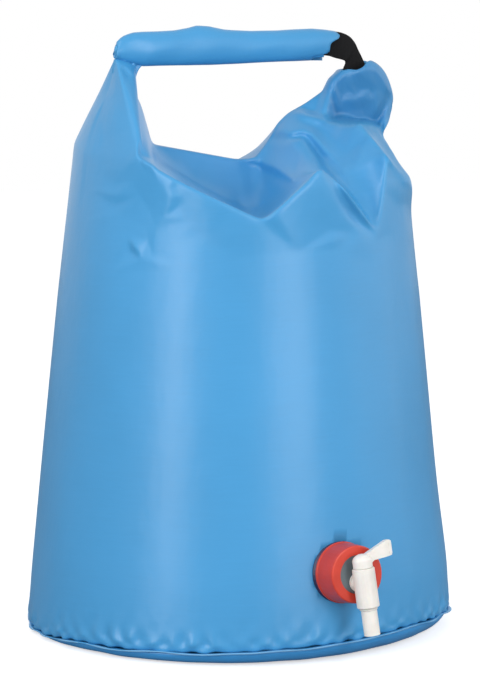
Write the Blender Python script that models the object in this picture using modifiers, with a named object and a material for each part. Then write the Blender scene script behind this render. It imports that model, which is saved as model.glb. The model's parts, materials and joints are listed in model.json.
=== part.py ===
# Collapsible water carrier: a tapered roll-top fabric bag with a screw-on plug tap.
# Metres, +Z up. The origin is the centre of the base on the floor, and the tap faces -Y.
import math

import bmesh
import bpy
from mathutils import Vector

# General clearances
seat_gap = 0.0003
cut_overrun = 0.002

# Fabric
fabric_thickness = 0.0010
turn_steps = 72

# Wall of the bag, outer face
wall_foot_radius = 0.1459
wall_foot_height = 0.0125
shoulder_radius = 0.11615
shoulder_height = 0.300
lower_wall_top_height = 0.240
lap_length = 0.010

# Base and hem
base_flat_radius = 0.128
base_curve_shares = ((1.0, 1.0), (0.93, 0.62), (0.70, 0.22), (0.38, 0.05), (0.0, 0.0))
hem_width = 0.0036
hem_root_thickness = 0.0034
hem_edge_thickness = 0.0016

# Seam tape inside the back of the wall
tape_width = 0.016
tape_thickness = 0.0006
tape_foot_height = 0.020
tape_top_clearance = 0.025
tape_steps = 4

# Folded top of the bag
fold_start_height = 0.270
gusset_top_height = 0.3885
mouth_half_gap = 0.0018
fold_steps = 7
column_degrees = 6.5

# Mouth roll, the grip
roll_length = 0.167
roll_half_height = 0.0115
roll_half_depth = 0.0080
roll_turns = 3
roll_pitch = 0.00093
roll_ply = 0.0006
roll_turn_points = 22
roll_drop = 0.0016
roll_setback = 0.0018
strip_thickness = 0.0012
strip_end_inset = 0.006

# Straps
webbing_width = 0.017
webbing_thickness = 0.0012
elbow_lap = 0.0020
wrap_leg_drop = 0.0050
wrap_ply_share = 0.9
wrap_steps = 8
ear_webbing_length = 0.0238
ear_webbing_pinch = 0.0080
ear_webbing_flare = 0.0030

# Elbow strap's edges below and above its bend, from the roll's end in shares of the webbing's
# width, and from the grip's axis in shares of the roll's half height
elbow_low_shares = ((0.0, -0.62), (0.31, -0.72), (0.47, -0.85))
elbow_high_shares = (
    (1.34, -0.85), (1.21, -0.51), (0.97, 0.04), (0.78, 0.51), (0.66, 0.74), (0.34, 0.90), (0.0, 0.97),
)

# Side-release buckle, down in the ear and tilted so that its fork leaves along the grip's swing
buckle_offset = 0.0159
buckle_drop = 0.0145
buckle_width = 0.0220
buckle_depth = 0.0074
socket_height = 0.0195
socket_floor = 0.0030
socket_side_wall = 0.0021
socket_face_wall = 0.0013
window_height = 0.0070
window_depth = 0.0032
bar_radius = 0.0010
post_width = 0.0018
plug_block_height = 0.0056
fork_width = 0.0148
fork_length = 0.0154
tine_width = 0.0030
barb_depth = 0.0012
barb_slope = 0.0018
barb_height_share = 0.45
middle_tine_shares = ((1.0, 0.12), (0.6, 0.04))
block_depth_share = 0.9
rod_fit_share = 0.97
buckle_step = 0.0005

# Tap port
port_height = 0.0586
port_turn = math.radians(1.0)
port_hole_radius = 0.0167
neck_radius = 0.0162
neck_bore_radius = 0.0132
neck_length = 0.0160
flange_radius = 0.0260
flange_thickness = 0.0022
ring_radius = 0.0205
ring_front = 0.0015

# Screw cap with its washer and disc
collar_bead_radius = 0.0200
collar_back_radius = 0.0195
collar_front_radius = 0.0187
collar_bead_length = 0.0018
collar_length = 0.0197
collar_edge = 0.0009
collar_bevel_share = 0.3
collar_bead_bevel = 0.00045
collar_lip = 0.0021
collar_hole_radius = 0.0125
thread_clearance = 0.0004
washer_thickness = 0.0015
washer_bore_radius = 0.0126
disc_thickness = 0.0011
disc_boss_recess = 0.0010

# Tap body
tap_roll = math.radians(6.0)
inlet_drop = 0.0050
inlet_radius = 0.0052
inlet_bore_radius = 0.0032
inlet_tail = 0.0060
inlet_collar_radius = 0.0063
inlet_collar_length = 0.0012
nut_radius = 0.0074
nut_thickness = 0.0040
barrel_reach = 0.0300
barrel_radius = 0.0073
barrel_bore_radius = 0.0055
barrel_top = 0.0048
barrel_bottom = 0.0207
barrel_chamfer = 0.0005
inlet_reach_share = 0.4

# Tap plug
plug_radius = 0.0052
plug_bore_radius = 0.0039
dome_radius = 0.00635
dome_height = 0.0090
dome_rise_share = 0.75
dome_angles = (0, 20, 40, 60, 78, 90)
core_cone_share = 0.4
spout_length = 0.0180
bead_height = 0.0010
bead_rise = 0.0006
side_port_radius = 0.0030
lever_reach = 0.0219
lever_rise = 0.0194
lever_thickness = 0.0036
lever_lip_thickness = 0.0052
lever_lip_width = 0.0018
lever_lip_shares = (0.56, 0.97)

# Lever's paddle: its root on the dome, in shares of the dome's radius and height, and its
# blade, in shares of the lever's reach and rise
lever_root_shares = ((0.17, 0.55), (0.69, 0.10))
lever_blade_shares = (
    (0.37, 0.44), (0.85, 0.465), (0.98, 0.485), (1.0, 0.53), (0.985, 0.97), (0.965, 1.0), (0.85, 1.0),
)
lever_crown_share = (0.41, 0.93)

# Sides of the small round pieces
round_steps = 40
small_steps = 24
inlet_steps = 20


def wall_radius(height):
    """Outer radius of the bag's straight wall at a height."""
    share = (height - wall_foot_height) / (shoulder_height - wall_foot_height)
    return wall_foot_radius + (shoulder_radius - wall_foot_radius) * share


buckle_from_hinge = roll_length + buckle_offset
wall_tilt = math.atan((wall_foot_radius - shoulder_radius) / (shoulder_height - wall_foot_height))
lap_radius = wall_radius(lower_wall_top_height) - fabric_thickness - seat_gap


def clear_scene():
    for old in list(bpy.data.objects):
        bpy.data.objects.remove(old, do_unlink=True)


def new_collection(name):
    collection = bpy.data.collections.new(name)
    bpy.context.scene.collection.children.link(collection)
    return collection


def new_material(name, colour, roughness, metallic=0.0):
    material = bpy.data.materials.new(name)
    material.use_nodes = True
    shader = material.node_tree.nodes["Principled BSDF"]
    shader.inputs["Base Color"].default_value = (*colour, 1.0)
    shader.inputs["Roughness"].default_value = roughness
    shader.inputs["Metallic"].default_value = metallic
    return material


clear_scene()
parts = new_collection("water_carrier")
cutters = new_collection("cutters")

fabric = new_material("coated_fabric", (0.10, 0.35, 0.68), 0.38)
base_fabric = new_material("base_fabric", (0.03, 0.16, 0.45), 0.45)
navy_plastic = new_material("navy_plastic", (0.01, 0.02, 0.08), 0.40)
red_plastic = new_material("red_plastic", (0.62, 0.04, 0.02), 0.35)
white_plastic = new_material("white_plastic", (0.82, 0.79, 0.74), 0.35)
grey_plastic = new_material("grey_plastic", (0.13, 0.17, 0.19), 0.50)
black_plastic = new_material("black_plastic", (0.008, 0.008, 0.009), 0.30)
webbing = new_material("black_webbing", (0.010, 0.010, 0.011), 0.75)
strip_plastic = new_material("strip_plastic", (0.75, 0.76, 0.78), 0.45)


def place(obj, collection, parent=None, location=(0, 0, 0), rotation=(0, 0, 0)):
    for home in list(obj.users_collection):
        home.objects.unlink(obj)
    collection.objects.link(obj)
    obj.parent = parent
    obj.location = location
    obj.rotation_euler = rotation
    return obj


def mesh_object(name, vertices, edges, faces):
    mesh = bpy.data.meshes.new(name)
    mesh.from_pydata(vertices, edges, faces)
    mesh.update()
    return bpy.data.objects.new(name, mesh)


def frame_empty(name, parent, location, rotation):
    empty = bpy.data.objects.new(name, None)
    return place(empty, parts, parent, location, rotation)


def as_cutter(obj, parent=None, location=(0, 0, 0), rotation=(0, 0, 0)):
    place(obj, cutters, parent, location, rotation)
    obj.hide_render = True
    obj.display_type = "WIRE"
    return obj


def combine(target, tool, operation):
    boolean = target.modifiers.new(operation.lower() + "_" + tool.name, "BOOLEAN")
    boolean.operation = operation
    boolean.solver = "EXACT"
    boolean.object = tool


def turned(name, profile, closed, steps):
    """A profile of (radius, height) points, run down its outer side, turned about Z."""
    vertices = [(radius, 0, height) for radius, height in profile]
    edges = [(i, i + 1) for i in range(len(vertices) - 1)]
    if closed:
        edges.append((len(vertices) - 1, 0))
    obj = mesh_object(name, vertices, edges, [])
    screw = obj.modifiers.new("turn", "SCREW")
    screw.steps = steps
    screw.render_steps = steps
    screw.use_merge_vertices = True
    screw.merge_threshold = 0.00001
    screw.use_smooth_shade = False
    return obj


def box(name, size, centre):
    bpy.ops.mesh.primitive_cube_add(size=1)
    obj = bpy.context.object
    obj.name = name
    for vertex in obj.data.vertices:
        vertex.co = Vector([centre[i] + vertex.co[i] * size[i] for i in range(3)])
    return obj


def cylinder(name, radius, low, high, steps):
    """A cylinder about Z from one height to another."""
    bpy.ops.mesh.primitive_cylinder_add(vertices=steps, radius=radius, depth=high - low)
    obj = bpy.context.object
    obj.name = name
    for vertex in obj.data.vertices:
        vertex.co.z += (low + high) / 2
    return obj


def plate(name, outline, thickness):
    """A flat outline of (x, z) points, thickened both ways along Y, as a mesh."""
    curve = bpy.data.curves.new(name, "CURVE")
    curve.dimensions = "2D"
    curve.fill_mode = "BOTH"
    curve.extrude = thickness / 2
    spline = curve.splines.new("POLY")
    spline.points.add(len(outline) - 1)
    for point, (x, z) in zip(spline.points, outline):
        point.co = (x, z, 0, 1)
    spline.use_cyclic_u = True
    source = bpy.data.objects.new(name + "_outline", curve)
    cutters.objects.link(source)
    bpy.context.view_layer.update()
    graph = bpy.context.evaluated_depsgraph_get()
    mesh = bpy.data.meshes.new_from_object(source.evaluated_get(graph))
    shape = bmesh.new()
    shape.from_mesh(mesh)
    bmesh.ops.remove_doubles(shape, verts=shape.verts, dist=0.00001)
    for vertex in shape.verts:
        x, z, depth = vertex.co
        vertex.co = (x, -depth, z)
    bmesh.ops.recalc_face_normals(shape, faces=shape.faces)
    shape.to_mesh(mesh)
    shape.free()
    bpy.data.objects.remove(source)
    return bpy.data.objects.new(name, mesh)


def ribbon(name, path, low_x, high_x, thickness):
    """A strap along a path of (y, z) points, between two x positions."""
    vertices = [(x, y, z) for y, z in path for x in (low_x, high_x)]
    faces = [(2 * i, 2 * i + 1, 2 * i + 3, 2 * i + 2) for i in range(len(path) - 1)]
    obj = mesh_object(name, vertices, [], faces)
    solidify = obj.modifiers.new("ply", "SOLIDIFY")
    solidify.thickness = thickness
    solidify.offset = 0
    solidify.use_even_offset = True
    return obj


def arc(centre, radius, first, last, steps):
    """Points on an arc, angles in degrees from the first axis."""
    points = []
    for i in range(steps + 1):
        angle = math.radians(first + (last - first) * i / steps)
        points.append((centre[0] + radius * math.cos(angle), centre[1] + radius * math.sin(angle)))
    return points


def finish(obj, material, parent=None, location=(0, 0, 0), rotation=(0, 0, 0)):
    place(obj, parts, parent, location, rotation)
    obj.data.materials.append(material)
    obj.data.shade_smooth()
    obj.data.set_sharp_from_angle(angle=math.radians(35))
    return obj


# Base, hem and lower wall

def base_profile(radius_offset, height_offset):
    """The base from its edge under the hem, round the dished corner, to the centre."""
    edge_radius = wall_foot_radius - fabric_thickness / 2 - radius_offset
    edge_height = wall_foot_height - hem_root_thickness - 2 * seat_gap
    run = edge_radius - base_flat_radius
    points = []
    for share_r, share_z in base_curve_shares:
        points.append((base_flat_radius + run * share_r, edge_height * share_z + height_offset))
    return points


def make_base_panel():
    under = base_profile(0, 0)
    upper = base_profile(fabric_thickness, fabric_thickness)
    upper[0] = (upper[0][0], under[0][1])
    profile = under + [(0, 0), (0, fabric_thickness)] + upper[::-1]
    start = profile.index((0, fabric_thickness))
    profile = profile[start:] + profile[:start]
    return finish(turned("base_panel", profile, False, turn_steps), base_fabric)


def make_base_hem():
    foot = wall_foot_height - seat_gap
    inner = wall_foot_radius - fabric_thickness
    outer = wall_foot_radius + hem_width
    slope = (hem_root_thickness - hem_edge_thickness) / 2
    profile = [
        (inner, foot),
        (wall_foot_radius, foot),
        (outer, foot - slope),
        (outer, foot - slope - hem_edge_thickness),
        (wall_foot_radius, foot - hem_root_thickness),
        (inner, foot - hem_root_thickness),
    ]
    return finish(turned("base_hem", profile, True, turn_steps), fabric)


def wall_solid(name, low, high, offset):
    """A solid cone frustum that follows the wall, moved out by an offset."""
    profile = [(0, high), (wall_radius(high) + offset, high), (wall_radius(low) + offset, low), (0, low)]
    return turned(name, profile, False, turn_steps)


def make_lower_wall(port_frame):
    top = lower_wall_top_height
    foot = wall_foot_height
    profile = [
        (wall_radius(top), top),
        (wall_radius(foot), foot),
        (wall_radius(foot) - fabric_thickness, foot),
        (wall_radius(top) - fabric_thickness, top),
    ]
    wall = turned("lower_wall", profile, True, turn_steps)
    hole = cylinder("port_hole", port_hole_radius, -flange_radius, flange_radius, round_steps)
    as_cutter(hole, port_frame, (0, 0, 0), (math.pi / 2, 0, 0))
    combine(wall, hole, "DIFFERENCE")
    return finish(wall, fabric)


def make_seam_tape():
    foot = tape_foot_height
    top = lower_wall_top_height - tape_top_clearance
    vertices = []
    for height in (foot, top):
        radius = wall_radius(height) - fabric_thickness - 2 * seat_gap
        spread = tape_width / radius
        for i in range(tape_steps + 1):
            angle = math.pi / 2 + spread * i / tape_steps - spread / 2
            vertices.append((radius * math.cos(angle), radius * math.sin(angle), height))
    row = tape_steps + 1
    faces = [(i, row + i, row + i + 1, i + 1) for i in range(tape_steps)]
    tape = mesh_object("seam_tape", vertices, [], faces)
    solidify = tape.modifiers.new("tape", "SOLIDIFY")
    solidify.thickness = tape_thickness
    solidify.offset = 1
    return finish(tape, fabric)


# Folded top. Each row: share of the half turn from the left fold to the right fold, height of
# the break above the fold start, mouth point across and up, fullness, and how open the mouth is.
# Heights are shares of the fold's height. Mouth points on the leg's side are shares of the
# shoulder's radius, and those on the ear's side are shares of the buckle's place.
front_fold_shares = [
    (0.000, 0.439, -0.830, 0.930, 0.30, 0.0),
    (0.070, 0.456, -0.808, 0.975, 0.30, 1.0),
    (0.150, 0.464, -0.797, 1.000, 0.12, 1.0),
    (0.159, 0.455, -0.763, 0.950, 0.08, 1.0),
    (0.167, 0.447, -0.690, 0.903, 0.05, 1.0),
    (0.183, 0.430, -0.640, 0.738, 0.00, 1.0),
    (0.200, 0.405, -0.570, 0.528, 0.00, 1.0),
    (0.281, 0.304, -0.319, 0.485, 0.00, 1.0),
    (0.394, 0.148, -0.023, 0.435, 0.00, 1.0),
    (0.458, 0.312, 0.054, 0.443, 0.00, 1.0),
    (0.506, 0.430, 0.164, 0.506, 0.00, 1.0),
    (0.556, 0.300, 0.328, 0.629, 0.00, 1.0),
    (0.626, 0.051, 0.523, 0.734, 0.00, 1.0),
    (0.687, 0.478, 0.710, 0.837, 0.10, 1.0),
    (0.740, 0.300, 0.808, 0.926, 0.10, 1.0),
    (0.775, 0.240, 0.865, 0.946, 0.20, 3.0),
    (0.850, 0.211, 1.002, 0.980, 0.30, 3.0),
    (0.905, 0.220, 1.132, 1.000, 0.35, 3.0),
    (0.950, 0.240, 1.198, 0.956, 0.35, 1.8),
    (1.000, 0.253, 1.319, 0.806, 0.30, 0.0),
]
back_fold_shares = [
    (0.000, 0.439, -0.830, 0.930, 0.30, 0.0),
    (0.080, 0.440, -0.808, 0.975, 0.35, 1.0),
    (0.165, 0.422, -0.797, 1.000, 0.30, 1.0),
    (0.178, 0.410, -0.763, 0.950, 0.28, 1.0),
    (0.190, 0.397, -0.690, 0.903, 0.25, 1.0),
    (0.212, 0.371, -0.640, 0.738, 0.20, 1.0),
    (0.235, 0.346, -0.570, 0.528, 0.12, 1.0),
    (0.330, 0.236, -0.319, 0.485, 0.08, 1.0),
    (0.445, 0.186, -0.023, 0.435, 0.08, 1.0),
    (0.510, 0.253, 0.054, 0.443, 0.10, 1.0),
    (0.566, 0.287, 0.164, 0.506, 0.12, 1.0),
    (0.622, 0.220, 0.328, 0.629, 0.15, 1.0),
    (0.678, 0.169, 0.523, 0.734, 0.15, 1.0),
    (0.733, 0.253, 0.710, 0.837, 0.20, 1.0),
    (0.780, 0.270, 0.808, 0.926, 0.25, 1.0),
    (0.805, 0.250, 0.865, 0.946, 0.30, 3.0),
    (0.860, 0.236, 1.002, 0.980, 0.35, 3.0),
    (0.910, 0.240, 1.132, 1.000, 0.35, 3.0),
    (0.950, 0.245, 1.198, 0.956, 0.35, 1.8),
    (1.000, 0.253, 1.319, 0.806, 0.30, 0.0),
]


def hinge_x():
    """The grip's hinge, just inside the tip of the leg."""
    tip_share = min(row[2] for row in front_fold_shares if row[3] == 1.0)
    return tip_share * shoulder_radius + roll_setback


def fold_columns(shares):
    """The rows of a fold table with straight steps between them, no wider than a column."""
    columns = [shares[0]]
    for row, following in zip(shares, shares[1:]):
        steps = max(1, math.ceil((following[0] - row[0]) * 180 / column_degrees))
        for i in range(1, steps + 1):
            mix = i / steps
            columns.append(tuple(a + (b - a) * mix for a, b in zip(row, following)))
    return columns


def fold_column(shares, side):
    """The points of one column, from the lap up to the mouth, on the front or back side."""
    turn, break_share, across, up, fullness, opening = shares
    angle = math.pi - side * math.pi * turn
    outward = Vector((math.cos(angle), math.sin(angle), 0))
    fold_height = gusset_top_height - fold_start_height
    break_height = fold_start_height + fold_height * break_share
    lap_foot = lower_wall_top_height - lap_length
    full_wall = lower_wall_top_height + (fabric_thickness + seat_gap) / math.tan(wall_tilt)
    points = [outward * lap_radius + Vector((0, 0, lap_foot))]
    points.append(outward * lap_radius + Vector((0, 0, full_wall)))
    start = outward * wall_radius(break_height) + Vector((0, 0, break_height))
    mouth_x = across * (shoulder_radius if across < 0 else hinge_x() + buckle_from_hinge)
    mouth_y = side * mouth_half_gap * opening
    mouth = Vector((mouth_x, mouth_y, fold_start_height + fold_height * up))
    rise = Vector((0, 0, math.cos(wall_tilt))) - outward * math.sin(wall_tilt)
    straight = (start + mouth) / 2
    full = start + rise * (mouth - start).length / 2
    middle = straight.lerp(full, fullness)
    for i in range(fold_steps + 1):
        mix = i / fold_steps
        points.append(start.lerp(middle, mix).lerp(middle.lerp(mouth, mix), mix))
    return points


def make_upper_wall():
    front = [fold_column(row, -1) for row in fold_columns(front_fold_shares)]
    back = [fold_column(row, 1) for row in fold_columns(back_fold_shares)]
    columns = front + back[-2:0:-1]
    rows = len(columns[0])
    vertices = [tuple(point) for column in columns for point in column]
    faces = []
    for c in range(len(columns)):
        following = (c + 1) % len(columns)
        for r in range(rows - 1):
            a = c * rows + r
            b = following * rows + r
            faces.append((a, b, b + 1, a + 1))
    wall = mesh_object("upper_wall", vertices, [], faces)
    solidify = wall.modifiers.new("fabric", "SOLIDIFY")
    solidify.thickness = fabric_thickness
    solidify.offset = -1
    return finish(wall, fabric)


# Grip: the rolled mouth with its strip, hinged where the left leg is pinched

def make_mouth_roll(hinge):
    first_half_height = roll_half_height - roll_turns * roll_pitch - roll_ply / 2
    first_half_depth = roll_half_depth - roll_turns * roll_pitch - roll_ply / 2
    path = []
    for i in range(roll_turns * roll_turn_points + 1):
        turns = i / roll_turn_points
        angle = 2 * math.pi * turns
        half_height = first_half_height + roll_pitch * turns
        half_depth = first_half_depth + roll_pitch * turns
        path.append((half_depth * math.sin(angle), -half_height * math.cos(angle)))
    roll = ribbon("mouth_roll", path, 0, roll_length, roll_ply)
    return finish(roll, fabric, hinge)


def roll_core_half_height():
    return roll_half_height - roll_turns * roll_pitch - roll_ply


def make_mouth_strip(hinge):
    half = roll_core_half_height() - seat_gap
    low = strip_end_inset
    high = roll_length - strip_end_inset
    strip = box("mouth_strip", (high - low, strip_thickness, 2 * half), ((low + high) / 2, 0, 0))
    return finish(strip, strip_plastic, hinge)


def hanging_wrap(bar_height, leg_end, pinch_end):
    """A strap folded over a buckle bar with both legs hanging below it, as (y, z) points."""
    reach = bar_radius + seat_gap + webbing_thickness / 2
    close = webbing_thickness / 2 + seat_gap / 2
    legs = [(-close, leg_end), (-close, pinch_end), (-reach, bar_height - ear_webbing_flare)]
    return legs + arc((0, bar_height), reach, 180, 0, wrap_steps) + [(-y, z) for y, z in reversed(legs)]


def make_roll_webbing(hinge, buckle):
    """Elbow strap: a tongue in the roll, a flat turn down, and a wrap round the buckle's bar."""
    half = webbing_width / 2
    bar = plug_bar_height()
    tongue_half = roll_core_half_height() - 3 * seat_gap
    tongue_start = roll_length - 2 * webbing_width
    roll_end = roll_length + seat_gap

    def on_elbow(shares):
        return (roll_end + webbing_width * shares[0], roll_half_height * shares[1])

    outline = [(tongue_start, tongue_half), (tongue_start, -tongue_half), (roll_end, -tongue_half)]
    outline += [on_elbow(shares) for shares in elbow_low_shares]
    outline += [from_buckle(-half, bar + elbow_lap), from_buckle(half, bar + elbow_lap)]
    outline += [on_elbow(shares) for shares in elbow_high_shares]
    outline.append((roll_end, tongue_half))
    reach = bar_radius + seat_gap + webbing_thickness / 2
    strap = plate("roll_webbing", outline, webbing_thickness)
    for vertex in strap.data.vertices:
        vertex.co.y -= reach
    inner = webbing_thickness * wrap_ply_share
    top = bar + webbing_width / 2
    path = [(-reach, bar + wrap_leg_drop)] + arc((0, bar), reach, 180, 360, wrap_steps) + [(reach, top)]
    trim = webbing_thickness / 4
    wrap = ribbon("webbing_wrap", path, trim - half, half - trim, inner)
    as_cutter(wrap, buckle)
    combine(strap, wrap, "UNION")
    return finish(strap, webbing, hinge)


def hinge_height():
    return gusset_top_height - roll_drop + roll_half_height


# The buckle's own frame: its origin is the middle of the socket's top, its Z the way out

def buckle_height():
    """The buckle's origin above the hinge."""
    return gusset_top_height - buckle_drop - hinge_height()


def buckle_tilt():
    """Lean of the buckle, across the line from the hinge to the middle of the seated fork."""
    return math.atan2(fork_length / 2 - buckle_height(), buckle_from_hinge)


def from_buckle(across, up):
    """A point of the buckle's frame, as (x, z) from the hinge."""
    lean = buckle_tilt()
    x = buckle_from_hinge + across * math.cos(lean) + up * math.sin(lean)
    return (x, buckle_height() - across * math.sin(lean) + up * math.cos(lean))


def plug_bar_height():
    slot = webbing_thickness + 2 * seat_gap
    return buckle_step + plug_block_height + slot + bar_radius


def make_buckle_male(buckle):
    """Pronged half: a block with three tines down, and two posts and a bar up."""
    low = buckle_step
    high = low + plug_block_height
    bar = plug_bar_height()
    half = buckle_width / 2 - seat_gap
    size = (2 * half, buckle_depth * block_depth_share, plug_block_height)
    block = box("buckle_male", size, (0, 0, (low + high) / 2))
    bevel = block.modifiers.new("edges", "BEVEL")
    bevel.width = buckle_step
    bevel.segments = 2
    fork_half = fork_width / 2
    tip = low - fork_length
    barb = tip + fork_length * barb_height_share
    gap_half = tine_width / 2
    tine_inside = fork_half - tine_width - barb_depth
    right = [
        (fork_half - barb_depth, low + buckle_step),
        (fork_half - barb_depth, barb),
        (fork_half, barb),
        (fork_half, barb - barb_slope),
        (fork_half - barb_depth, tip),
        (tine_inside, tip),
        (tine_inside, low),
        (gap_half, low),
    ]
    right += [(gap_half * across, tip + fork_length * up) for across, up in middle_tine_shares]
    outline = right + [(-x, z) for x, z in reversed(right)]
    fork_depth = buckle_depth - 2 * socket_face_wall - 2 * thread_clearance
    fork = plate("buckle_fork", outline, fork_depth)
    as_cutter(fork, buckle)
    combine(block, fork, "UNION")
    for sign in (-1, 1):
        post_x = sign * (half - post_width / 2)
        post_size = (post_width, bar_radius * 2, bar - high + bar_radius + buckle_step)
        post_z = (bar + bar_radius + high - buckle_step) / 2
        post = box("buckle_post", post_size, (post_x, 0, post_z))
        as_cutter(post, buckle)
        combine(block, post, "UNION")
    bar_half = half - post_width / 2
    rod = cylinder("buckle_bar", bar_radius * rod_fit_share, -bar_half, bar_half, small_steps // 2)
    as_cutter(rod, buckle, (0, 0, bar), (0, math.pi / 2, 0))
    combine(block, rod, "UNION")
    return finish(block, black_plastic, buckle)


def socket_bar_height():
    slot = webbing_thickness + 2 * seat_gap
    return -socket_height - slot - bar_radius


def make_buckle_female(buckle):
    """Socket half: a box open at the top, with side windows, two posts and a bar below."""
    low = -socket_height
    bar = socket_bar_height()
    size = (buckle_width, buckle_depth, socket_height)
    body = box("buckle_female", size, (0, 0, low / 2))
    bevel = body.modifiers.new("edges", "BEVEL")
    bevel.width = buckle_step
    bevel.segments = 2
    cavity_low = low + socket_floor
    cavity_size = (
        buckle_width - 2 * socket_side_wall,
        buckle_depth - 2 * socket_face_wall,
        cut_overrun - cavity_low,
    )
    cavity = box("socket_cavity", cavity_size, (0, 0, (cavity_low + cut_overrun) / 2))
    as_cutter(cavity, buckle)
    combine(body, cavity, "DIFFERENCE")
    window_z = cavity_low + window_height / 2 + buckle_step
    window_size = (buckle_width + 2 * cut_overrun, window_depth, window_height)
    window = box("socket_window", window_size, (0, 0, window_z))
    as_cutter(window, buckle)
    combine(body, window, "DIFFERENCE")
    for sign in (-1, 1):
        post_x = sign * (buckle_width / 2 - post_width / 2 - buckle_step / 2)
        post_size = (post_width, bar_radius * 2, low - bar + bar_radius + 2 * buckle_step)
        post = box("socket_post", post_size, (post_x, 0, (low + 2 * buckle_step + bar - bar_radius) / 2))
        as_cutter(post, buckle)
        combine(body, post, "UNION")
    bar_half = buckle_width / 2 - post_width / 2 - buckle_step / 2
    rod = cylinder("socket_bar", bar_radius * rod_fit_share, -bar_half, bar_half, small_steps // 2)
    as_cutter(rod, buckle, (0, 0, bar), (0, math.pi / 2, 0))
    combine(body, rod, "UNION")
    return finish(body, black_plastic, buckle)


def make_ear_webbing(buckle):
    bar = socket_bar_height()
    half = webbing_width / 2
    path = hanging_wrap(bar, bar - ear_webbing_length, bar - ear_webbing_pinch)
    strap = ribbon("ear_webbing", path, -half, half, webbing_thickness)
    return finish(strap, webbing, buckle)


# Tap port in the wall

def make_port_neck(port):
    foot = -(flange_radius ** 2) / (2 * wall_radius(port_height)) - fabric_thickness - flange_thickness
    flange = cylinder("port_neck", flange_radius, foot, cut_overrun, round_steps)
    inside = wall_solid("wall_inside", wall_foot_height, lower_wall_top_height, -fabric_thickness - seat_gap)
    as_cutter(inside)
    combine(flange, inside, "INTERSECT")
    neck = cylinder("neck_tube", neck_radius, foot + seat_gap, neck_length, round_steps)
    as_cutter(neck, port, (0, 0, 0), (math.pi / 2, 0, 0))
    combine(flange, neck, "UNION")
    bore = cylinder("neck_bore", neck_bore_radius, foot - cut_overrun, neck_length + cut_overrun, round_steps)
    as_cutter(bore, port, (0, 0, 0), (math.pi / 2, 0, 0))
    combine(flange, bore, "DIFFERENCE")
    return finish(flange, navy_plastic, port, (0, 0, 0), (math.pi / 2, 0, 0))


def make_port_ring(port):
    inner = neck_radius + seat_gap
    back = -cut_overrun - flange_thickness
    profile = [
        (inner, ring_front),
        (ring_radius - ring_front, ring_front),
        (ring_radius, 0),
        (ring_radius, back),
        (inner, back),
    ]
    ring = turned("port_ring", profile, True, round_steps)
    outside = wall_solid("wall_outside", wall_foot_height, lower_wall_top_height, seat_gap)
    as_cutter(outside)
    combine(ring, outside, "DIFFERENCE")
    return finish(ring, navy_plastic, port, (0, 0, 0), (math.pi / 2, 0, 0))


# Screw cap and the tap that it holds, along the port's axis

collar_back = ring_front + seat_gap
collar_front = collar_back + collar_length
lip_inside = collar_front - collar_lip
washer_back = neck_length + seat_gap
disc_back = washer_back + washer_thickness + seat_gap
disc_step = disc_back + disc_thickness
disc_front = collar_front - disc_boss_recess


def make_tap_collar(tap):
    bore = neck_radius + thread_clearance
    bead_end = collar_back + collar_bead_length
    round_off = collar_edge * collar_bevel_share
    profile = [
        (collar_hole_radius, collar_front),
        (collar_front_radius - collar_edge, collar_front),
        (collar_front_radius - round_off, collar_front - round_off),
        (collar_front_radius, collar_front - collar_edge),
        (collar_back_radius, bead_end + collar_bead_bevel),
        (collar_bead_radius, bead_end),
        (collar_bead_radius, collar_back + collar_bead_bevel),
        (collar_bead_radius - collar_bead_bevel, collar_back),
        (bore, collar_back),
        (bore, lip_inside),
        (collar_hole_radius, lip_inside),
    ]
    collar = turned("tap_collar", profile, True, round_steps)
    return finish(collar, red_plastic, tap, (0, 0, 0), (math.pi / 2, 0, 0))


def make_cap_washer(tap):
    profile = [
        (neck_radius, washer_back + washer_thickness),
        (neck_radius, washer_back),
        (washer_bore_radius, washer_back),
        (washer_bore_radius, washer_back + washer_thickness),
    ]
    washer = turned("cap_washer", profile, True, round_steps)
    return finish(washer, grey_plastic, tap, (0, 0, 0), (math.pi / 2, 0, 0))


def make_tap_disc(tap):
    boss = collar_hole_radius - seat_gap
    profile = [
        (0, disc_front),
        (boss, disc_front),
        (boss, disc_step),
        (neck_radius, disc_step),
        (neck_radius, disc_back),
        (0, disc_back),
    ]
    disc = turned("tap_disc", profile, False, round_steps)
    hole_ends = (disc_back - cut_overrun, disc_front + cut_overrun)
    hole = cylinder("disc_hole", inlet_radius + seat_gap, *hole_ends, small_steps)
    as_cutter(hole, tap, (0, 0, -inlet_drop), (math.pi / 2, 0, 0))
    combine(disc, hole, "DIFFERENCE")
    return finish(disc, grey_plastic, tap, (0, 0, 0), (math.pi / 2, 0, 0))


def make_tap_nut(tap):
    high = disc_back - seat_gap
    low = high - nut_thickness
    nut = cylinder("tap_nut", nut_radius, low, high, 6)
    hole = cylinder("nut_hole", inlet_radius + seat_gap, low - cut_overrun, high + cut_overrun, small_steps)
    as_cutter(hole, tap, (0, 0, -inlet_drop), (math.pi / 2, 0, 0))
    combine(nut, hole, "DIFFERENCE")
    return finish(nut, white_plastic, tap, (0, 0, -inlet_drop), (math.pi / 2, 0, 0))


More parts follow.
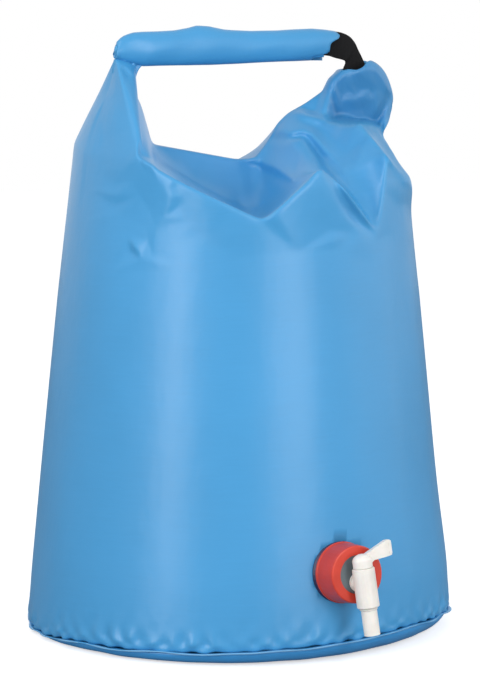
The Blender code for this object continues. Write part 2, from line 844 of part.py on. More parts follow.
def make_tap_body(tap):
    profile = [
        (0, barrel_top),
        (barrel_radius - barrel_chamfer, barrel_top),
        (barrel_radius, barrel_top - barrel_chamfer),
        (barrel_radius, -barrel_bottom + barrel_chamfer),
        (barrel_radius - barrel_chamfer, -barrel_bottom),
        (0, -barrel_bottom),
    ]
    body = turned("tap_body", profile, False, small_steps)
    nut_back = disc_back - seat_gap - nut_thickness
    inlet_end = barrel_reach - barrel_bore_radius * inlet_reach_share
    inlet = cylinder("inlet_tube", inlet_radius, nut_back - inlet_tail, inlet_end, inlet_steps)
    as_cutter(inlet, tap, (0, 0, -inlet_drop), (math.pi / 2, 0, 0))
    combine(body, inlet, "UNION")
    collar_low = disc_front + seat_gap
    collar_high = collar_low + inlet_collar_length
    stop = cylinder("inlet_stop", inlet_collar_radius, collar_low, collar_high, inlet_steps)
    as_cutter(stop, tap, (0, 0, -inlet_drop), (math.pi / 2, 0, 0))
    combine(body, stop, "UNION")
    bore_ends = (-barrel_bottom - cut_overrun, barrel_top + cut_overrun)
    bore = cylinder("barrel_bore", barrel_bore_radius, *bore_ends, small_steps)
    as_cutter(bore, tap, (0, -barrel_reach, 0), (0, 0, math.pi / small_steps))
    combine(body, bore, "DIFFERENCE")
    passage = cylinder(
        "inlet_bore", inlet_bore_radius, nut_back - inlet_tail - cut_overrun, inlet_end - seat_gap, inlet_steps
    )
    as_cutter(passage, tap, (0, 0, -inlet_drop), (math.pi / 2, 0, 0))
    combine(body, passage, "DIFFERENCE")
    return finish(body, white_plastic, tap, (0, -barrel_reach, 0))


def make_tap_plug(barrel):
    """Dome, ported core and spout turned in one, with the lever's paddle joined on."""
    dome_foot = barrel_top + seat_gap
    spout_end = -barrel_bottom - spout_length
    rise = dome_radius * dome_rise_share
    spring = dome_foot + dome_height - rise
    dome = [
        (dome_radius * math.sin(math.radians(a)), spring + rise * math.cos(math.radians(a)))
        for a in dome_angles
    ]
    bead_top = -barrel_bottom - seat_gap
    profile = dome + [
        (dome_radius, dome_foot),
        (plug_radius, dome_foot),
        (plug_radius, bead_top),
        (plug_radius + bead_rise, bead_top - bead_rise),
        (plug_radius + bead_rise, bead_top - bead_height),
        (plug_radius, bead_top - bead_height - bead_rise),
        (plug_radius, spout_end),
        (plug_bore_radius, spout_end),
        (plug_bore_radius, 0),
        (0, plug_bore_radius * core_cone_share),
    ]
    plug = turned("tap_plug", profile, False, small_steps)
    port = cylinder("plug_port", side_port_radius, 0, barrel_radius, small_steps)
    as_cutter(port, barrel, (0, 0, -inlet_drop), (0, -math.pi / 2, 0))
    combine(plug, port, "DIFFERENCE")
    def on_dome(shares):
        return (dome_radius * shares[0], dome_foot + dome_height * shares[1])

    outline = [on_dome(shares) for shares in lever_root_shares]
    outline += [(lever_reach * across, lever_rise * up) for across, up in lever_blade_shares]
    outline.append(on_dome(lever_crown_share))
    paddle = plate("lever_paddle", outline, lever_thickness)
    as_cutter(paddle, barrel)
    combine(plug, paddle, "UNION")
    lip_low, lip_high = [lever_rise * share for share in lever_lip_shares]
    lip = box(
        "lever_lip",
        (lever_lip_width, lever_lip_thickness, lip_high - lip_low),
        (lever_reach - lever_lip_width / 2 - seat_gap, 0, (lip_high + lip_low) / 2),
    )
    as_cutter(lip, barrel)
    combine(plug, lip, "UNION")
    return finish(plug, white_plastic, barrel)


def main():
    port_radius = wall_radius(port_height)
    port_place = (port_radius * math.sin(port_turn), -port_radius * math.cos(port_turn), port_height)
    port = frame_empty("port_frame", None, port_place, (-wall_tilt, 0, port_turn))
    tap = frame_empty("tap_frame", port, (0, 0, 0), (0, -tap_roll, 0))
    barrel = frame_empty("barrel_frame", tap, (0, -barrel_reach, 0), (0, 0, 0))
    hinge = frame_empty("grip_hinge", None, (hinge_x(), 0, hinge_height()), (0, 0, 0))
    buckle_place = (buckle_from_hinge, 0, buckle_height())
    buckle = frame_empty("buckle_frame", hinge, buckle_place, (0, buckle_tilt(), 0))
    make_base_panel()
    make_base_hem()
    make_lower_wall(port)
    make_seam_tape()
    make_upper_wall()
    make_mouth_roll(hinge)
    make_mouth_strip(hinge)
    make_roll_webbing(hinge, buckle)
    make_buckle_male(buckle)
    make_buckle_female(buckle)
    make_ear_webbing(buckle)
    make_port_neck(port)
    make_port_ring(port)
    make_tap_collar(tap)
    make_cap_washer(tap)
    make_tap_disc(tap)
    make_tap_nut(tap)
    make_tap_body(tap)
    make_tap_plug(barrel)
    bpy.context.view_layer.update()


main()
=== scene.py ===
"""Looks of a collapsible roll-top water carrier with a screw-on plug tap.

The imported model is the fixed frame. The fabric, its folds, hems and finishes are built around it in
metres, with +Z up, the tap towards -Y and the mouth of the bag along X.
"""

import json
import logging
import math
from collections.abc import Iterable, Iterator
from contextlib import contextmanager
from dataclasses import dataclass
from enum import Enum

import bpy
import numpy as np
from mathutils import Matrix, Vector, geometry

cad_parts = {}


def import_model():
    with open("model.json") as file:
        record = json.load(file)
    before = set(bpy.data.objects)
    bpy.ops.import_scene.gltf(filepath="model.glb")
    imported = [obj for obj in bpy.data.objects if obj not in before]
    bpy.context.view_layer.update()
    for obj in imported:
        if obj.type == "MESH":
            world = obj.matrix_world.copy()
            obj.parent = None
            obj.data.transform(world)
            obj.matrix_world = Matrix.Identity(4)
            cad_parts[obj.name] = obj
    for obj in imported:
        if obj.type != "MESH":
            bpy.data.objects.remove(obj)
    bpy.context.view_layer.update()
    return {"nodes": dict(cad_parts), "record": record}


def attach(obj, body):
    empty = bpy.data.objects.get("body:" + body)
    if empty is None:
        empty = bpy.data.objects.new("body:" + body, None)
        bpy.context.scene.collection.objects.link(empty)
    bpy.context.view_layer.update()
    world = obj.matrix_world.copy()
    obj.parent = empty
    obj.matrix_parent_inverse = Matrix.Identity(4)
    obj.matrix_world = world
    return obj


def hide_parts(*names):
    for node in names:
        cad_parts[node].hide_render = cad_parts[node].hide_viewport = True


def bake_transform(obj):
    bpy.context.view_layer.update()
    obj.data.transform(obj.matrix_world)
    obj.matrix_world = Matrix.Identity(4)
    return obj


log = logging.getLogger("water_carrier")

MM = 0.001
# Radians that the wave texture turns through in one unit at scale 1.
WAVE_RADIANS = 20.0
# Points nearer than this, in metres or pixels, are one, and a smaller area, in pixels, is none.
WELD = 0.00001
PIXEL_WELD = 0.01
NO_AREA = 1e-9

# Faces that meet at a flatter angle than this have no edge to round.
SHARP_EDGE = math.radians(50)

Colour = tuple[float, float, float]
Line = tuple[tuple[float, ...], ...]
Faces = list[tuple[int, ...]]


class Along(Enum):
    """Which way a woven rib or a brushed streak runs on a UV map."""

    ACROSS = "X"
    UPWARD = "Y"


# Camera


@dataclass(frozen=True)
class PhotoCamera:
    """The photograph's viewpoint, fitted to the hem's ellipse and the taper of the wall."""

    frame_width: int = 480
    frame_height: int = 688
    turn: float = math.radians(-27)
    distance: float = 1.7
    eye_height: float = 0.38
    aim_height: float = 0.194
    metres_per_pixel: float = 0.00069
    shift_pixels: float = 1.5
    sensor: float = 36.0

    @property
    def focal_pixels(self) -> float:
        """Focal length in pixels of the photograph."""
        return self.distance / self.metres_per_pixel

    def eye(self) -> np.ndarray:
        """Place of the camera."""
        aside, back = math.sin(self.turn) * self.distance, math.cos(self.turn) * self.distance
        return np.array([aside, -back, self.eye_height])

    def axes(self) -> tuple[np.ndarray, np.ndarray, np.ndarray]:
        """Directions of the view.

        Returns:
            The unit vectors forwards, rightwards and upwards.
        """
        forwards = np.array([0.0, 0.0, self.aim_height]) - self.eye()
        forwards /= np.linalg.norm(forwards)
        rightwards = np.cross(forwards, [0.0, 0.0, 1.0])
        rightwards /= np.linalg.norm(rightwards)
        return forwards, rightwards, np.cross(rightwards, forwards)

    def pixels_of(self, points: np.ndarray) -> np.ndarray:
        """Pixels at which points of the object appear.

        Args:
            points: Points as rows of x, y and z.

        Returns:
            Rows of pixel x and pixel y.
        """
        forwards, rightwards, upwards = self.axes()
        rays = points - self.eye()
        depth = rays @ forwards
        across = self.frame_width / 2 - self.shift_pixels + self.focal_pixels * (rays @ rightwards) / depth
        down = self.frame_height / 2 - self.focal_pixels * (rays @ upwards) / depth
        return np.stack([across, down], axis=-1)

    def towards(self, points: np.ndarray) -> np.ndarray:
        """Unit directions from points to the camera."""
        rays = self.eye() - points
        return rays / np.linalg.norm(rays, axis=-1, keepdims=True)

    def build(self) -> bpy.types.Object:
        """Adds the camera and makes it the scene's own.

        Returns:
            The camera object.
        """
        data = bpy.data.cameras.new("photo_camera")
        data.sensor_width = self.sensor
        data.lens = self.focal_pixels / self.frame_height * self.sensor
        data.shift_x = self.shift_pixels / self.frame_height
        camera = bpy.data.objects.new("photo_camera", data)
        bpy.context.scene.collection.objects.link(camera)
        camera.location = self.eye()
        camera.rotation_euler = Vector(self.axes()[0]).to_track_quat("-Z", "Y").to_euler()
        bpy.context.scene.camera = camera
        return camera


# Finishes


def tinted(colour: Colour, share: float) -> Colour:
    """A colour made darker, or lighter where the share is over 1."""
    return tuple(min(1.0, value * share) for value in colour)


class Nodes:
    """Short words for building a node tree."""

    def __init__(self, name: str, world: bpy.types.World | None = None) -> None:
        """Starts a material with its Principled shader, or an empty world.

        Args:
            name: Name of the material.
            world: The world to build in place of a material.
        """
        self.material = world or bpy.data.materials.new(name)
        self.material.use_nodes = True
        self.tree = self.material.node_tree
        if world:
            self.tree.nodes.clear()
        self.shader = self.tree.nodes.get("Principled BSDF")

    def add(self, kind: str, inputs: dict | None = None, **settings: object) -> bpy.types.Node:
        """Adds one node.

        Args:
            kind: Node type without its ShaderNode prefix.
            inputs: Socket names with a value, or with a socket to link from.
            settings: Properties of the node.

        Returns:
            The new node.
        """
        node = self.tree.nodes.new("ShaderNode" + kind)
        for name, value in settings.items():
            setattr(node, name, value)
        for name, value in (inputs or {}).items():
            self.feed(node.inputs[name], value)
        return node

    def feed(self, socket: bpy.types.NodeSocket, value: object) -> None:
        """Sets a socket's value, or links another socket to it.

        Args:
            socket: The input to feed.
            value: A number, a tuple or an output socket.
        """
        if isinstance(value, bpy.types.NodeSocket):
            self.tree.links.new(value, socket)
        else:
            socket.default_value = value

    def surface(self, values: dict[str, object]) -> None:
        """Feeds the material's shader.

        Args:
            values: The shader's socket names with a value or a socket.
        """
        for name, value in values.items():
            self.feed(self.shader.inputs[name], value)

    def joined(self, kind: str, *values: object, **settings: object) -> bpy.types.NodeSocket:
        """First output of a node whose inputs are fed in their order.

        Args:
            kind: Node type without its ShaderNode prefix.
            values: Values or sockets for the first inputs.
            settings: Properties of the node.

        Returns:
            The output.
        """
        node = self.add(kind, **settings)
        for socket, value in zip(node.inputs, values):
            self.feed(socket, value)
        return node.outputs[0]

    def mixed(self, first: object, second: object, share: float) -> bpy.types.NodeSocket:
        """One value with a share of a second one laid in."""
        kept = self.joined("Math", first, 1 - share, operation="MULTIPLY")
        laid_in = self.joined("Math", second, share, operation="MULTIPLY")
        return self.joined("Math", kept, laid_in, operation="ADD")

    def mixed_colours(self, share: object, first: object, second: object) -> bpy.types.NodeSocket:
        """Two colours mixed. Colours have the seventh and eighth input of the node and the third output."""
        node = self.add("Mix", data_type="RGBA")
        for socket, value in zip((node.inputs[0], *node.inputs[6:8]), (share, first, second)):
            self.feed(socket, value)
        return node.outputs[2]

    def ramp(self, factor: object, stops: Iterable[tuple[float, Colour]]) -> bpy.types.NodeSocket:
        """A colour ramp.

        Args:
            factor: What drives the ramp.
            stops: Places from 0 to 1 with their colours.

        Returns:
            The ramp's colour output.
        """
        node = self.add("ValToRGB", {"Fac": factor})
        elements, stops = node.color_ramp.elements, list(stops)
        while len(elements) < len(stops):
            elements.new(1.0)
        for element, (place, colour) in zip(elements, stops):
            element.position = place
            element.color = (*colour, 1.0)
        return node.outputs["Color"]

    def scaled(self, source: object, low: float, high: float) -> bpy.types.NodeSocket:
        """A 0 to 1 value stretched to run from low to high."""
        return self.add("MapRange", {"Value": source, "To Min": low, "To Max": high}).outputs["Result"]

    def uv(self, scale: tuple[float, float, float] = (1.0, 1.0, 1.0)) -> bpy.types.NodeSocket:
        """The piece's UV map, in metres, times a scale."""
        place = self.add("UVMap", uv_map="metres")
        return self.add("Mapping", {"Vector": place.outputs["UV"], "Scale": scale}).outputs["Vector"]

    def here(self, scale: tuple[float, float, float] = (1.0, 1.0, 1.0)) -> bpy.types.NodeSocket:
        """Object coordinates, in metres, times a scale."""
        place = self.add("TexCoord")
        return self.add("Mapping", {"Vector": place.outputs["Object"], "Scale": scale}).outputs["Vector"]

    def attribute(self, name: str) -> bpy.types.NodeSocket:
        """The value that each point of the mesh holds under a name."""
        return self.add("Attribute", attribute_name=name).outputs["Fac"]

    def bump(
        self, height: object, strength: float, distance: float, under: object = None
    ) -> bpy.types.NodeSocket:
        """A bump laid over another.

        Args:
            height: Height from 0 to 1.
            strength: Share of the bump that shows.
            distance: Depth in metres.
            under: Normal to lay it over.

        Returns:
            The bumped normal.
        """
        node = self.add("Bump", {"Strength": strength, "Distance": distance, "Height": height})
        if under is not None:
            self.feed(node.inputs["Normal"], under)
        return node.outputs["Normal"]

    def noise(self, vector: object, scale: float = 1.0, detail: float = 2.0) -> bpy.types.NodeSocket:
        """The value of a noise texture."""
        return self.add("TexNoise", {"Vector": vector, "Scale": scale, "Detail": detail}).outputs["Fac"]

    def thread(self, vector: object, pitch: float, direction: Along) -> bpy.types.NodeSocket:
        """Rounded threads side by side, a pitch apart in metres, from 0 to 1."""
        scale = math.tau / pitch / WAVE_RADIANS
        node = self.add("TexWave", {"Vector": vector, "Scale": scale}, bands_direction=direction.value)
        return node.outputs["Fac"]


@dataclass(frozen=True)
class CoatedNylon:
    """Tightly woven nylon under a thin shiny coat."""

    name: str = "coated_fabric"
    colour: Colour = (0.058, 0.308, 0.610)
    # Colour of the ear's panel, darker than the fabric: painted shade of the ear's pocket.
    ear_shade_colour: Colour = (0.036, 0.215, 0.475)
    shade: float = 0.95
    tone_stops: tuple[float, float, float] = (0.32, 0.5, 0.70)
    cloud_share: float = 0.75
    clouds_per_metre: float = 11.0
    cloud_detail: float = 3.0
    streaks_per_metre: tuple[float, float, float] = (30.0, 700.0, 1.0)
    roughness: float = 0.33
    gloss_change: float = 0.04
    gloss: float = 0.42
    chafed_gloss: float = 0.03
    thread_pitch: float = 0.00055
    weave_depth: float = 0.00004
    weave_strength: float = 0.35
    crinkle_depth: float = 0.0006
    crinkle_strength: float = 0.5
    crinkle_shape: tuple[float, float, float] = (1.0, 0.7, 1.0)
    crinkles_per_metre: float = 60.0

    def build(self) -> bpy.types.Material:
        """The fabric's material, on a UV map in metres.

        Returns:
            The material.
        """
        nodes = Nodes(self.name)
        plain = nodes.uv()
        weave = nodes.joined(
            "Math", *(nodes.thread(plain, self.thread_pitch, way) for way in Along), operation="MAXIMUM"
        )
        streaks = nodes.noise(nodes.uv(self.streaks_per_metre))
        clouds = nodes.noise(nodes.here(), self.clouds_per_metre, self.cloud_detail)
        tone = nodes.mixed(streaks, clouds, self.cloud_share)
        dark, light = tinted(self.colour, self.shade), tinted(self.colour, 2 - self.shade)
        unshaded = nodes.ramp(tone, zip(self.tone_stops, (dark, self.colour, light)))
        # The ear's panel takes a darker ramp as painted shade, mixed in by its attribute.
        shade_tones = tinted(self.ear_shade_colour, self.shade), self.ear_shade_colour
        shaded = nodes.ramp(tone, zip(self.tone_stops[::2], shade_tones))
        rough_change = self.gloss_change / 2
        crinkle = nodes.noise(nodes.uv(self.crinkle_shape), self.crinkles_per_metre)
        crinkled = nodes.bump(crinkle, self.crinkle_strength, self.crinkle_depth)
        nodes.surface({
            "Base Color": nodes.mixed_colours(nodes.attribute("painted_ear_shade"), unshaded, shaded),
            "Roughness": nodes.scaled(streaks, self.roughness - rough_change, self.roughness + rough_change),
            "Specular IOR Level": nodes.scaled(nodes.attribute("chafed"), self.gloss, self.chafed_gloss),
            "Normal": nodes.bump(weave, self.weave_strength, self.weave_depth, crinkled),
        })
        return nodes.material


@dataclass(frozen=True)
class MouldedPlastic:
    """Injection-moulded plastic with a faint grain and soft colour change."""

    name: str
    colour: Colour
    roughness: float = 0.35
    smoother: float = 0.05
    rougher: float = 0.07
    grain: float = 0.00002
    grain_strength: float = 0.4
    grains_per_metre: float = 2600.0
    clouds_per_metre: float = 90.0
    cloud_detail: float = 3.0
    subsurface: float = 0.0
    subsurface_depth: float = 0.002
    shade: float = 0.93
    tone_stops: tuple[float, float] = (0.3, 0.7)

    def build(self) -> bpy.types.Material:
        """The plastic's material, on object coordinates.

        Returns:
            The material.
        """
        nodes = Nodes(self.name)
        place = nodes.here()
        clouds = nodes.noise(place, self.clouds_per_metre, self.cloud_detail)
        grain = nodes.noise(place, self.grains_per_metre)
        dark, light = tinted(self.colour, self.shade), tinted(self.colour, 2 - self.shade)
        smooth, rough = self.roughness - self.smoother, self.roughness + self.rougher
        nodes.surface({
            "Base Color": nodes.ramp(clouds, zip(self.tone_stops, (dark, light))),
            "Roughness": nodes.scaled(clouds, smooth, rough),
            "Normal": nodes.bump(grain, self.grain_strength, self.grain),
        })
        if self.subsurface:
            nodes.surface({"Subsurface Weight": self.subsurface, "Subsurface Scale": self.subsurface_depth})
        return nodes.material


@dataclass(frozen=True)
class WovenStrap:
    """Black polyester webbing with ribs across it."""

    name: str = "black_webbing"
    colour: Colour = (0.0030, 0.0030, 0.0034)
    highlight: float = 2.4
    tone_stops: tuple[float, float] = (0.2, 0.9)
    roughness: float = 0.72
    smoother: float = 0.08
    rougher: float = 0.1
    gloss: float = 0.16
    rib_pitch: float = 0.0011
    rib_depth: float = 0.00018
    rib_strength: float = 0.5
    fibre_share: float = 0.3
    fibres_per_metre: tuple[float, float, float] = (300.0, 1200.0, 1200.0)

    def build(self) -> bpy.types.Material:
        """The webbing's material, on object coordinates.

        Returns:
            The material.
        """
        nodes = Nodes(self.name)
        ribs = nodes.thread(nodes.here(), self.rib_pitch, Along.ACROSS)
        fibres = nodes.noise(nodes.here(self.fibres_per_metre))
        height = nodes.mixed(ribs, fibres, self.fibre_share)
        tones = self.colour, tinted(self.colour, self.highlight)
        smooth, rough = self.roughness - self.smoother, self.roughness + self.rougher
        nodes.surface({
            "Base Color": nodes.ramp(height, zip(self.tone_stops, tones)),
            "Roughness": nodes.scaled(fibres, smooth, rough),
            "Specular IOR Level": self.gloss,
            "Normal": nodes.bump(height, self.rib_strength, self.rib_depth),
        })
        return nodes.material


# Meshes


def piece_from(
    name: str, vertices: np.ndarray, faces: Faces, uvs: np.ndarray | None = None
) -> bpy.types.Object:
    """Makes a mesh object in the object's own frame.

    Args:
        name: Name of the piece.
        vertices: Points as rows of x, y and z.
        faces: Corners of each face.
        uvs: Rows of u and v, one for each corner of each face in turn, in metres.

    Returns:
        The new object.
    """
    mesh = bpy.data.meshes.new(name)
    mesh.from_pydata(np.asarray(vertices).tolist(), [], faces)
    if uvs is not None:
        layer = mesh.uv_layers.new(name="metres")
        layer.data.foreach_set("uv", np.asarray(uvs, np.float32).ravel())
    mesh.update()
    mesh.shade_smooth()
    piece = bpy.data.objects.new(name, mesh)
    bpy.context.scene.collection.objects.link(piece)
    return piece


def grid_sheet(
    name: str, grid: np.ndarray, along: np.ndarray, across: np.ndarray, closed: bool = False
) -> bpy.types.Object:
    """Makes a sheet over a grid of points.

    Args:
        name: Name of the piece.
        grid: Points of lines by rows, running so that lines turn to rows outwards.
        along: The u of each line in metres, one more than the lines where they close.
        across: The v of each row in metres.
        closed: True where the last line joins the first.

    Returns:
        The sheet.
    """
    lines, rows = grid.shape[:2]
    faces: Faces = []
    uvs: list[tuple[float, float]] = []
    for line in range(lines if closed else lines - 1):
        following = (line + 1) % lines
        for row in range(rows - 1):
            a, b = line * rows + row, following * rows + row
            faces.append((a, b, b + 1, a + 1))
            u0, u1, v0, v1 = along[line], along[line + 1], across[row], across[row + 1]
            uvs += [(u0, v0), (u1, v0), (u1, v1), (u0, v1)]
    return piece_from(name, grid.reshape(-1, 3), faces, np.array(uvs))


def select_only(piece: bpy.types.Object) -> None:
    """Makes a piece the active and only selected one."""
    bpy.ops.object.select_all(action="DESELECT")
    piece.select_set(True)
    bpy.context.view_layer.objects.active = piece


@contextmanager
def editing(piece: bpy.types.Object, selection: str | None = "SELECT") -> Iterator[None]:
    """Edit mode on one piece.

    Args:
        piece: The piece.
        selection: SELECT for all of it, DESELECT for nothing, or None to leave the selection.
    """
    select_only(piece)
    bpy.ops.object.mode_set(mode="EDIT")
    if selection:
        bpy.ops.mesh.select_all(action=selection)
    yield
    bpy.ops.object.mode_set(mode="OBJECT")


def dressed(piece: bpy.types.Object, *finishes: bpy.types.Material) -> bpy.types.Object:
    """Gives a piece its materials, and returns it."""
    for finish in finishes:
        piece.data.materials.append(finish)
    return piece


def thicken(piece: bpy.types.Object, thickness: float, offset: float = -1.0, bevel: float = 0.0) -> None:
    """Gives a sheet its thickness.

    Args:
        piece: The sheet.
        thickness: How thick it becomes.
        offset: -1 to grow inwards, 0 to grow both ways.
        bevel: Width of the edges' rounding.
    """
    solidify = piece.modifiers.new("ply", "SOLIDIFY")
    solidify.thickness = thickness
    solidify.offset = offset
    if bevel:
        edges = piece.modifiers.new("edges", "BEVEL")
        edges.width = bevel
        edges.segments = 2
        edges.angle_limit = SHARP_EDGE
    select_only(piece)
    for modifier in list(piece.modifiers):
        bpy.ops.object.modifier_apply(modifier=modifier.name)


def close_up(piece: bpy.types.Object) -> None:
    """Merges doubled points and turns every face outwards."""
    with editing(piece):
        bpy.ops.mesh.remove_doubles(threshold=WELD)
        bpy.ops.mesh.normals_make_consistent(inside=False)


def fill_near_axis(piece: bpy.types.Object, nearness: float = 1.05) -> None:
    """Lays faces between the points nearest the object's axis, and turns every face outwards.

    Args:
        piece: The sheet.
        nearness: How far the points may be, as a multiple of the nearest one's distance.
    """
    with editing(piece, "DESELECT"):
        bpy.ops.mesh.select_mode(type="VERT")
    distances = [math.hypot(vertex.co.x, vertex.co.y) for vertex in piece.data.vertices]
    reach = min(distances) * nearness
    for vertex, distance in zip(piece.data.vertices, distances):
        vertex.select = distance < reach
    with editing(piece, None):
        bpy.ops.mesh.edge_face_add()
        bpy.ops.mesh.select_all(action="SELECT")
        bpy.ops.mesh.normals_make_consistent(inside=False)


def bell_blur(values: np.ndarray, sigma: float, axis: int = 0, closed: bool = False) -> np.ndarray:
    """Smooths an array along one axis.

    Args:
        values: The array.
        sigma: Width of the bell, in cells.
        axis: Axis to smooth along.
        closed: True where the axis joins its own start.

    Returns:
        The smoothed array. Ends that aren't joined keep their values.
    """
    reach = max(1, int(math.ceil(3 * sigma)))
    steps = np.arange(-reach, reach + 1)
    bell = np.exp(-0.5 * (steps / sigma) ** 2)
    bell /= bell.sum()
    moved = np.moveaxis(values, axis, 0)
    count = len(moved)
    total = np.zeros_like(moved, dtype=float)
    widened = (...,) + (None,) * (moved.ndim - 1)
    for step, share in zip(steps, bell):
        index = np.arange(count) + step
        if closed:
            total += share * moved[index % count]
            continue
        before, after = index < 0, index >= count
        mirrored = np.where(before, -index, np.where(after, 2 * count - 2 - index, index))
        inside = moved[np.clip(mirrored, 0, count - 1)]
        ends = np.where(before[widened], 2 * moved[:1], 2 * moved[-1:])
        total += share * np.where((before | after)[widened], ends - inside, inside)
    return np.moveaxis(total, 0, axis)


def turned(angle: np.ndarray, radius: np.ndarray | float, height: np.ndarray | float) -> np.ndarray:
    """Points at a direction round the axis, a distance from it and a height."""
    angle, radius, height = np.broadcast_arrays(angle, radius, height)
    return np.stack([radius * np.cos(angle), radius * np.sin(angle), height], axis=-1)


def run_along(points: np.ndarray) -> np.ndarray:
    """Distance along each line of points, from its start to each point."""
    steps = np.linalg.norm(np.diff(points, axis=-2), axis=-1)
    return np.concatenate([np.zeros((*steps.shape[:-1], 1)), np.cumsum(steps, axis=-1)], axis=-1)


def resampled(points: np.ndarray, places: np.ndarray, knots: np.ndarray | None = None) -> np.ndarray:
    """Points of a line at other places.

    Args:
        points: Rows of coordinates.
        places: Where to read the line.
        knots: Places of the points themselves, or None to count them from 0.

    Returns:
        A row of coordinates for each place.
    """
    knots = np.arange(len(points)) if knots is None else knots
    return np.stack([np.interp(places, knots, column) for column in np.transpose(points)], axis=-1)


def eased(share: np.ndarray) -> np.ndarray:
    """A share from 0 to 1 that leaves both ends gently."""
    share = np.clip(share, 0, 1)
    return share * share * (3 - 2 * share)


@dataclass(frozen=True)
class Waves:
    """Smooth waves that don't repeat: sines summed, waves in a unit, seed and depth."""

    count: int
    fewest: float
    most: float
    seed: int
    depth: float = 1.0

    def at(self, first: np.ndarray, second: np.ndarray) -> np.ndarray:
        """Height of the waves.

        Args:
            first: First coordinate.
            second: Second coordinate.

        Returns:
            An array of the coordinates' shape, about -1 to 1 times the depth.
        """
        chance = np.random.default_rng(self.seed)
        total = np.zeros(np.broadcast(first, second).shape)
        for _ in range(self.count):
            rate = chance.uniform(self.fewest, self.most) * math.tau
            heading = chance.uniform(0, math.tau)
            phase = chance.uniform(0, math.tau)
            total += np.sin(rate * (first * math.cos(heading) + second * math.sin(heading)) + phase)
        return total * self.depth / math.sqrt(self.count)


# Bag


@dataclass(frozen=True)
class WallSizes:
    """Outer face of the bag's straight wall, as in the solids."""

    foot_radius: float = 0.1459
    foot_height: float = 0.0125
    edge_height: float = 0.0097
    shoulder_radius: float = 0.11615
    shoulder_height: float = 0.300
    port_height: float = 0.0586
    port_turn: float = math.radians(1.0)
    lean_reach: float = 0.070
    view_turn: float = 243.0
    # Height of the cut edge off its mean, where the full bag sags: degrees from the view, and mm.
    edge_sag: Line = (
        (-180, 0.0), (-150, -1.0), (-120, -4.0), (-100, -6.2), (-83, -6.8), (-64, -6.2), (-56, -4.6),
        (-47, -2.3), (-39, -2.2), (-21, -1.4), (0, 0.2), (19, 2.2), (34, 3.6), (47, 5.4), (56, 5.6),
        (73, 3.0), (90, 0.8), (120, 0.0), (150, 0.5), (180, 0.0),
    )
    sag_steps: int = 720
    sag_softness: float = 8.0

    def radius(self, height: np.ndarray | float) -> np.ndarray | float:
        """Outer radius of the wall at a height."""
        share = (height - self.foot_height) / (self.shoulder_height - self.foot_height)
        return self.foot_radius + (self.shoulder_radius - self.foot_radius) * share

    def edge_shift(self, angle: np.ndarray) -> np.ndarray:
        """How far the cut edge is off its mean height at a direction, in metres."""
        turns, sags = np.transpose(self.edge_sag)
        away = (np.degrees(angle) - self.view_turn + 180.0) % 360.0 - 180.0
        around = np.linspace(-180, 180, self.sag_steps + 1)
        even = bell_blur(np.interp(around[:-1], turns, sags), self.sag_softness, closed=True)
        return np.interp(away, around, np.append(even, even[0])) * MM

    @property
    def tilt(self) -> float:
        """Lean of the wall from upright."""
        drawn_in = self.foot_radius - self.shoulder_radius
        return math.atan(drawn_in / (self.shoulder_height - self.foot_height))

    def port_place(self) -> np.ndarray:
        """Point of the wall that the tap's axis runs through."""
        return turned(self.port_turn - math.pi / 2, self.radius(self.port_height), self.port_height)

    def port_axis(self) -> np.ndarray:
        """Direction of the tap's axis, outwards."""
        return turned(self.port_turn - math.pi / 2, math.cos(self.tilt), math.sin(self.tilt))


@dataclass(frozen=True)
class FoldRow:
    """One line of the folded top, from the wall's break up to the mouth, front and back."""

    across: float
    up: float
    front_turn: float
    front_break: float
    front_fullness: float
    back_turn: float
    back_break: float
    back_fullness: float
    opening: float = 1.0
    front_dip: float = 0.0


